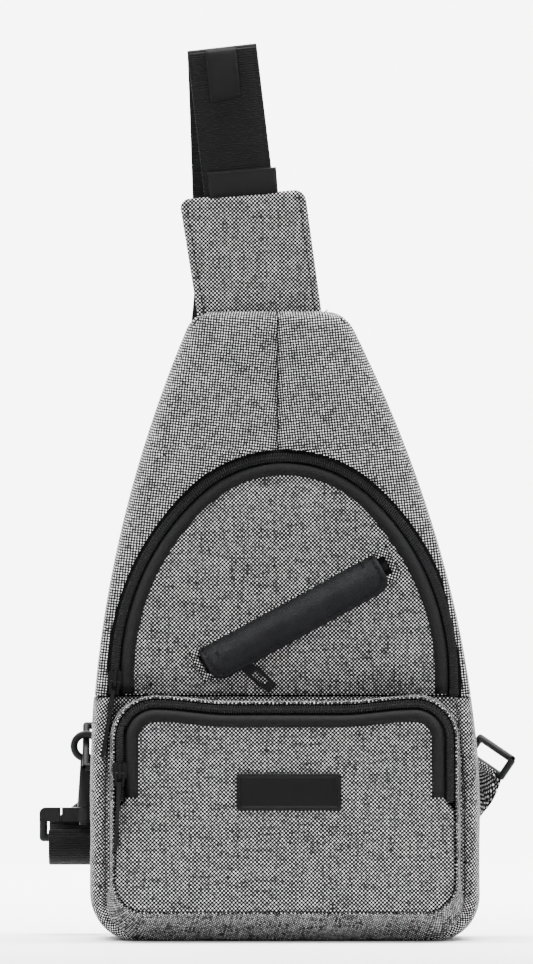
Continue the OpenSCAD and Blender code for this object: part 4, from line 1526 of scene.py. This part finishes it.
def make_label(name, corners, y, replaced, lift=0.5):
    """A blank woven label with a raised rim: corners from its lower left round to its upper left."""
    low_left, low_right, high_right, high_left = [Vector(c) for c in corners]
    rows = []
    weave = []
    for i in range(19):
        w = i / 18
        row = []
        for k in range(25):
            u = k / 24
            place = low_left.lerp(low_right, u).lerp(high_left.lerp(high_right, u), w)
            near = min(u, 1 - u) * (low_right - low_left).length
            near = min(near, min(w, 1 - w) * (high_left - low_left).length)
            fat = 0.55 * blend01((near + 0.2) / 0.9) - 0.15 * (1 - blend01(abs(near - 1.5) / 0.5))
            row.append((place.x, y - fat - lift * sin(pi * w) * u * 0.6, place.y))
        rows.append(row)
        weave.append([(p[0], p[2]) for p in row])
    label = sheet(name, rows, weave, (0, 60, 430), 0.5)
    return finished(label, label_cloth, "root", [replaced])


make_label("lower_label_cloth", [(-41, 400.9), (-3.6, 404.1), (-4.8, 418.6), (-42.2, 415.4)], 29.0,
           "lower_label")
make_label("top_label_cloth", [(-40.6, 453.4), (-24, 457), (-26.6, 483.6), (-43.4, 482)], 29.0, "top_label",
           lift=0.9)


# ---- ring tabs ----


RING_TAB_W = 24.4
RING_TAB_R = 3.1


def turned(angle, axis):
    return Matrix.Rotation(radians(angle), 3, axis)


def ring_tab(side_name, bar_at, rotation, sewn_at):
    """A folded cloth strap: round the bar of a ring, then back to where it is sewn on."""
    away = rotation @ Vector((-1, 0, 0))
    bar = rotation @ Vector((0, 1, 0))
    normal = bar.cross(away).normalized()
    sewn_across = Vector((0, 0, 1))
    sewn_out = Vector((0, 1, 0))
    stations = []
    for k in range(15):
        a = radians(-100 + 200 * k / 14)
        out = away * cos(a) + normal * sin(a)
        stations.append((Vector(bar_at) + out * RING_TAB_R, bar, out))
    legs = []
    for (middle, across, out), sign in ((stations[0], -1), (stations[-1], 1)):
        goal = Vector(sewn_at) + sewn_out * (0.9 * sign)
        leg = []
        for k in range(1, 13):
            share = k / 12
            turn = blend01(share)
            leg.append((middle.lerp(goal, share), across.lerp(sewn_across, turn).normalized(),
                        out.lerp(sewn_out * sign, turn).normalized()))
        legs.append(leg)
    node = "ring_tab_" + side_name
    return ribbon(node + "_cloth", legs[0][::-1] + stations + legs[1], tweed_side_painted_shade, "root", [node],
                  1.3, RING_TAB_W)


ring_tab("right", (109.2, 42, 92.8), turned(-56.4, "Y") @ turned(43.5, "X"), (104.9, 40.5, 74))
ring_tab("left", (HOOK[0] + 13, HOOK[1], 103), turned(48, "X") @ turned(180, "Y"), (-80, 41.2, 100))


# ---- pieces whose frame shape is right: only their finish ----

CAD_FINISHES = [
    (painted_metal, ("main_slider", "main_puller", "pocket_slider", "pocket_puller", "slant_slider",
                     "slant_puller", "gate_pin")),
    (plastic, ("hook_base", "hook_body", "hook_gate", "ring_left", "ring_right", "strap_adjuster")),
    (lining_cloth, ("lining", "slant_pocket_bag", "yoke_seam_tape")),
    (board_stuff, ("base_board",)),
]
for material, names in CAD_FINISHES:
    for name in names:
        mesh = NODES[name].data
        mesh.materials.clear()
        mesh.materials.append(material)


# ---- floor, light and camera ----


def paper_material():
    """Pale paper, which can be looked through from behind."""
    material, surface = shader("studio_paper", Roughness=0.9)
    surface.inputs["Base Color"].default_value = (0.97, 0.97, 0.97, 1)
    tree = material.node_tree
    behind = add(tree, "ShaderNodeNewGeometry").outputs["Backfacing"]
    clear = add(tree, "ShaderNodeBsdfTransparent")
    mixed = add(tree, "ShaderNodeMixShader", {0: behind, 1: surface.outputs[0], 2: clear.outputs[0]})
    tree.links.new(mixed.outputs[0], tree.nodes["Material Output"].inputs["Surface"])
    return material


def make_floor():
    """Paper that lies flat under the bag and curves up behind it, in metres."""
    mesh = bpy.data.meshes.new("studio_floor")
    half = 1.2
    curve = 0.8
    flat_share = 0.6
    points = []
    for i in range(25):
        share = i / 24
        if share < flat_share:
            points.append((-half + 2 * half * share / flat_share, 0.0))
        else:
            rise = radians(90 * (share - flat_share) / (1 - flat_share))
            points.append((half + curve * sin(rise), curve * (1 - cos(rise))))
    points.append((half + curve, 3.2))
    verts = [(x, y, z) for y, z in points for x in (-3.0, 3.0)]
    faces = [(2 * i, 2 * i + 1, 2 * i + 3, 2 * i + 2) for i in range(len(points) - 1)]
    mesh.from_pydata(verts, [], faces)
    mesh.polygons.foreach_set("use_smooth", [True] * len(mesh.polygons))
    floor = bpy.data.objects.new("studio_floor", mesh)
    bpy.context.scene.collection.objects.link(floor)
    floor.data.materials.append(paper_material())


def area_light(name, place, target, size, power):
    light = bpy.data.lights.new(name, "AREA")
    light.shape = "RECTANGLE"
    light.size = size[0]
    light.size_y = size[1]
    light.energy = power
    lamp = bpy.data.objects.new(name, light)
    lamp.location = place
    lamp.rotation_euler = (Vector(target) - Vector(place)).to_track_quat("-Z", "Y").to_euler()
    bpy.context.scene.collection.objects.link(lamp)


make_floor()
BAG_MIDDLE = (0, 0, 0.22)
area_light("key", (-0.9, -1.4, 1.5), BAG_MIDDLE, (0.9, 1.2), 35)
area_light("fill", (1.3, -1.2, 0.8), BAG_MIDDLE, (1.2, 1.4), 14)
area_light("top", (0, 0.1, 2.0), (0, 0, 0.2), (1.6, 1.2), 24)
area_light("backdrop", (0, 0.2, 1.6), (0, 1.8, 0.4), (2.4, 0.8), 275)

world = bpy.data.worlds.new("studio_air")
world.use_nodes = True
air = world.node_tree.nodes["Background"].inputs
air["Color"].default_value = (0.96, 0.98, 1.0, 1)
seen = add(world.node_tree, "ShaderNodeLightPath").outputs["Is Camera Ray"]
strength = calc(world.node_tree, "ADD", 0.5, calc(world.node_tree, "MULTIPLY", seen, 0.35))
world.node_tree.links.new(strength, air["Strength"])
bpy.context.scene.world = world

VIEW_H = 520.6
lens = bpy.data.cameras.new("camera")
lens.lens = 350
lens.sensor_fit = "VERTICAL"
lens.sensor_height = 36
lens.clip_start = 0.05
camera = bpy.data.objects.new("camera", lens)
distance = VIEW_H * MM * lens.lens / lens.sensor_height
camera.location = (-10 * MM, -5 * MM - distance, 247.3 * MM)
camera.rotation_euler = (radians(90), 0, 0)
bpy.context.scene.collection.objects.link(camera)
bpy.context.scene.camera = camera
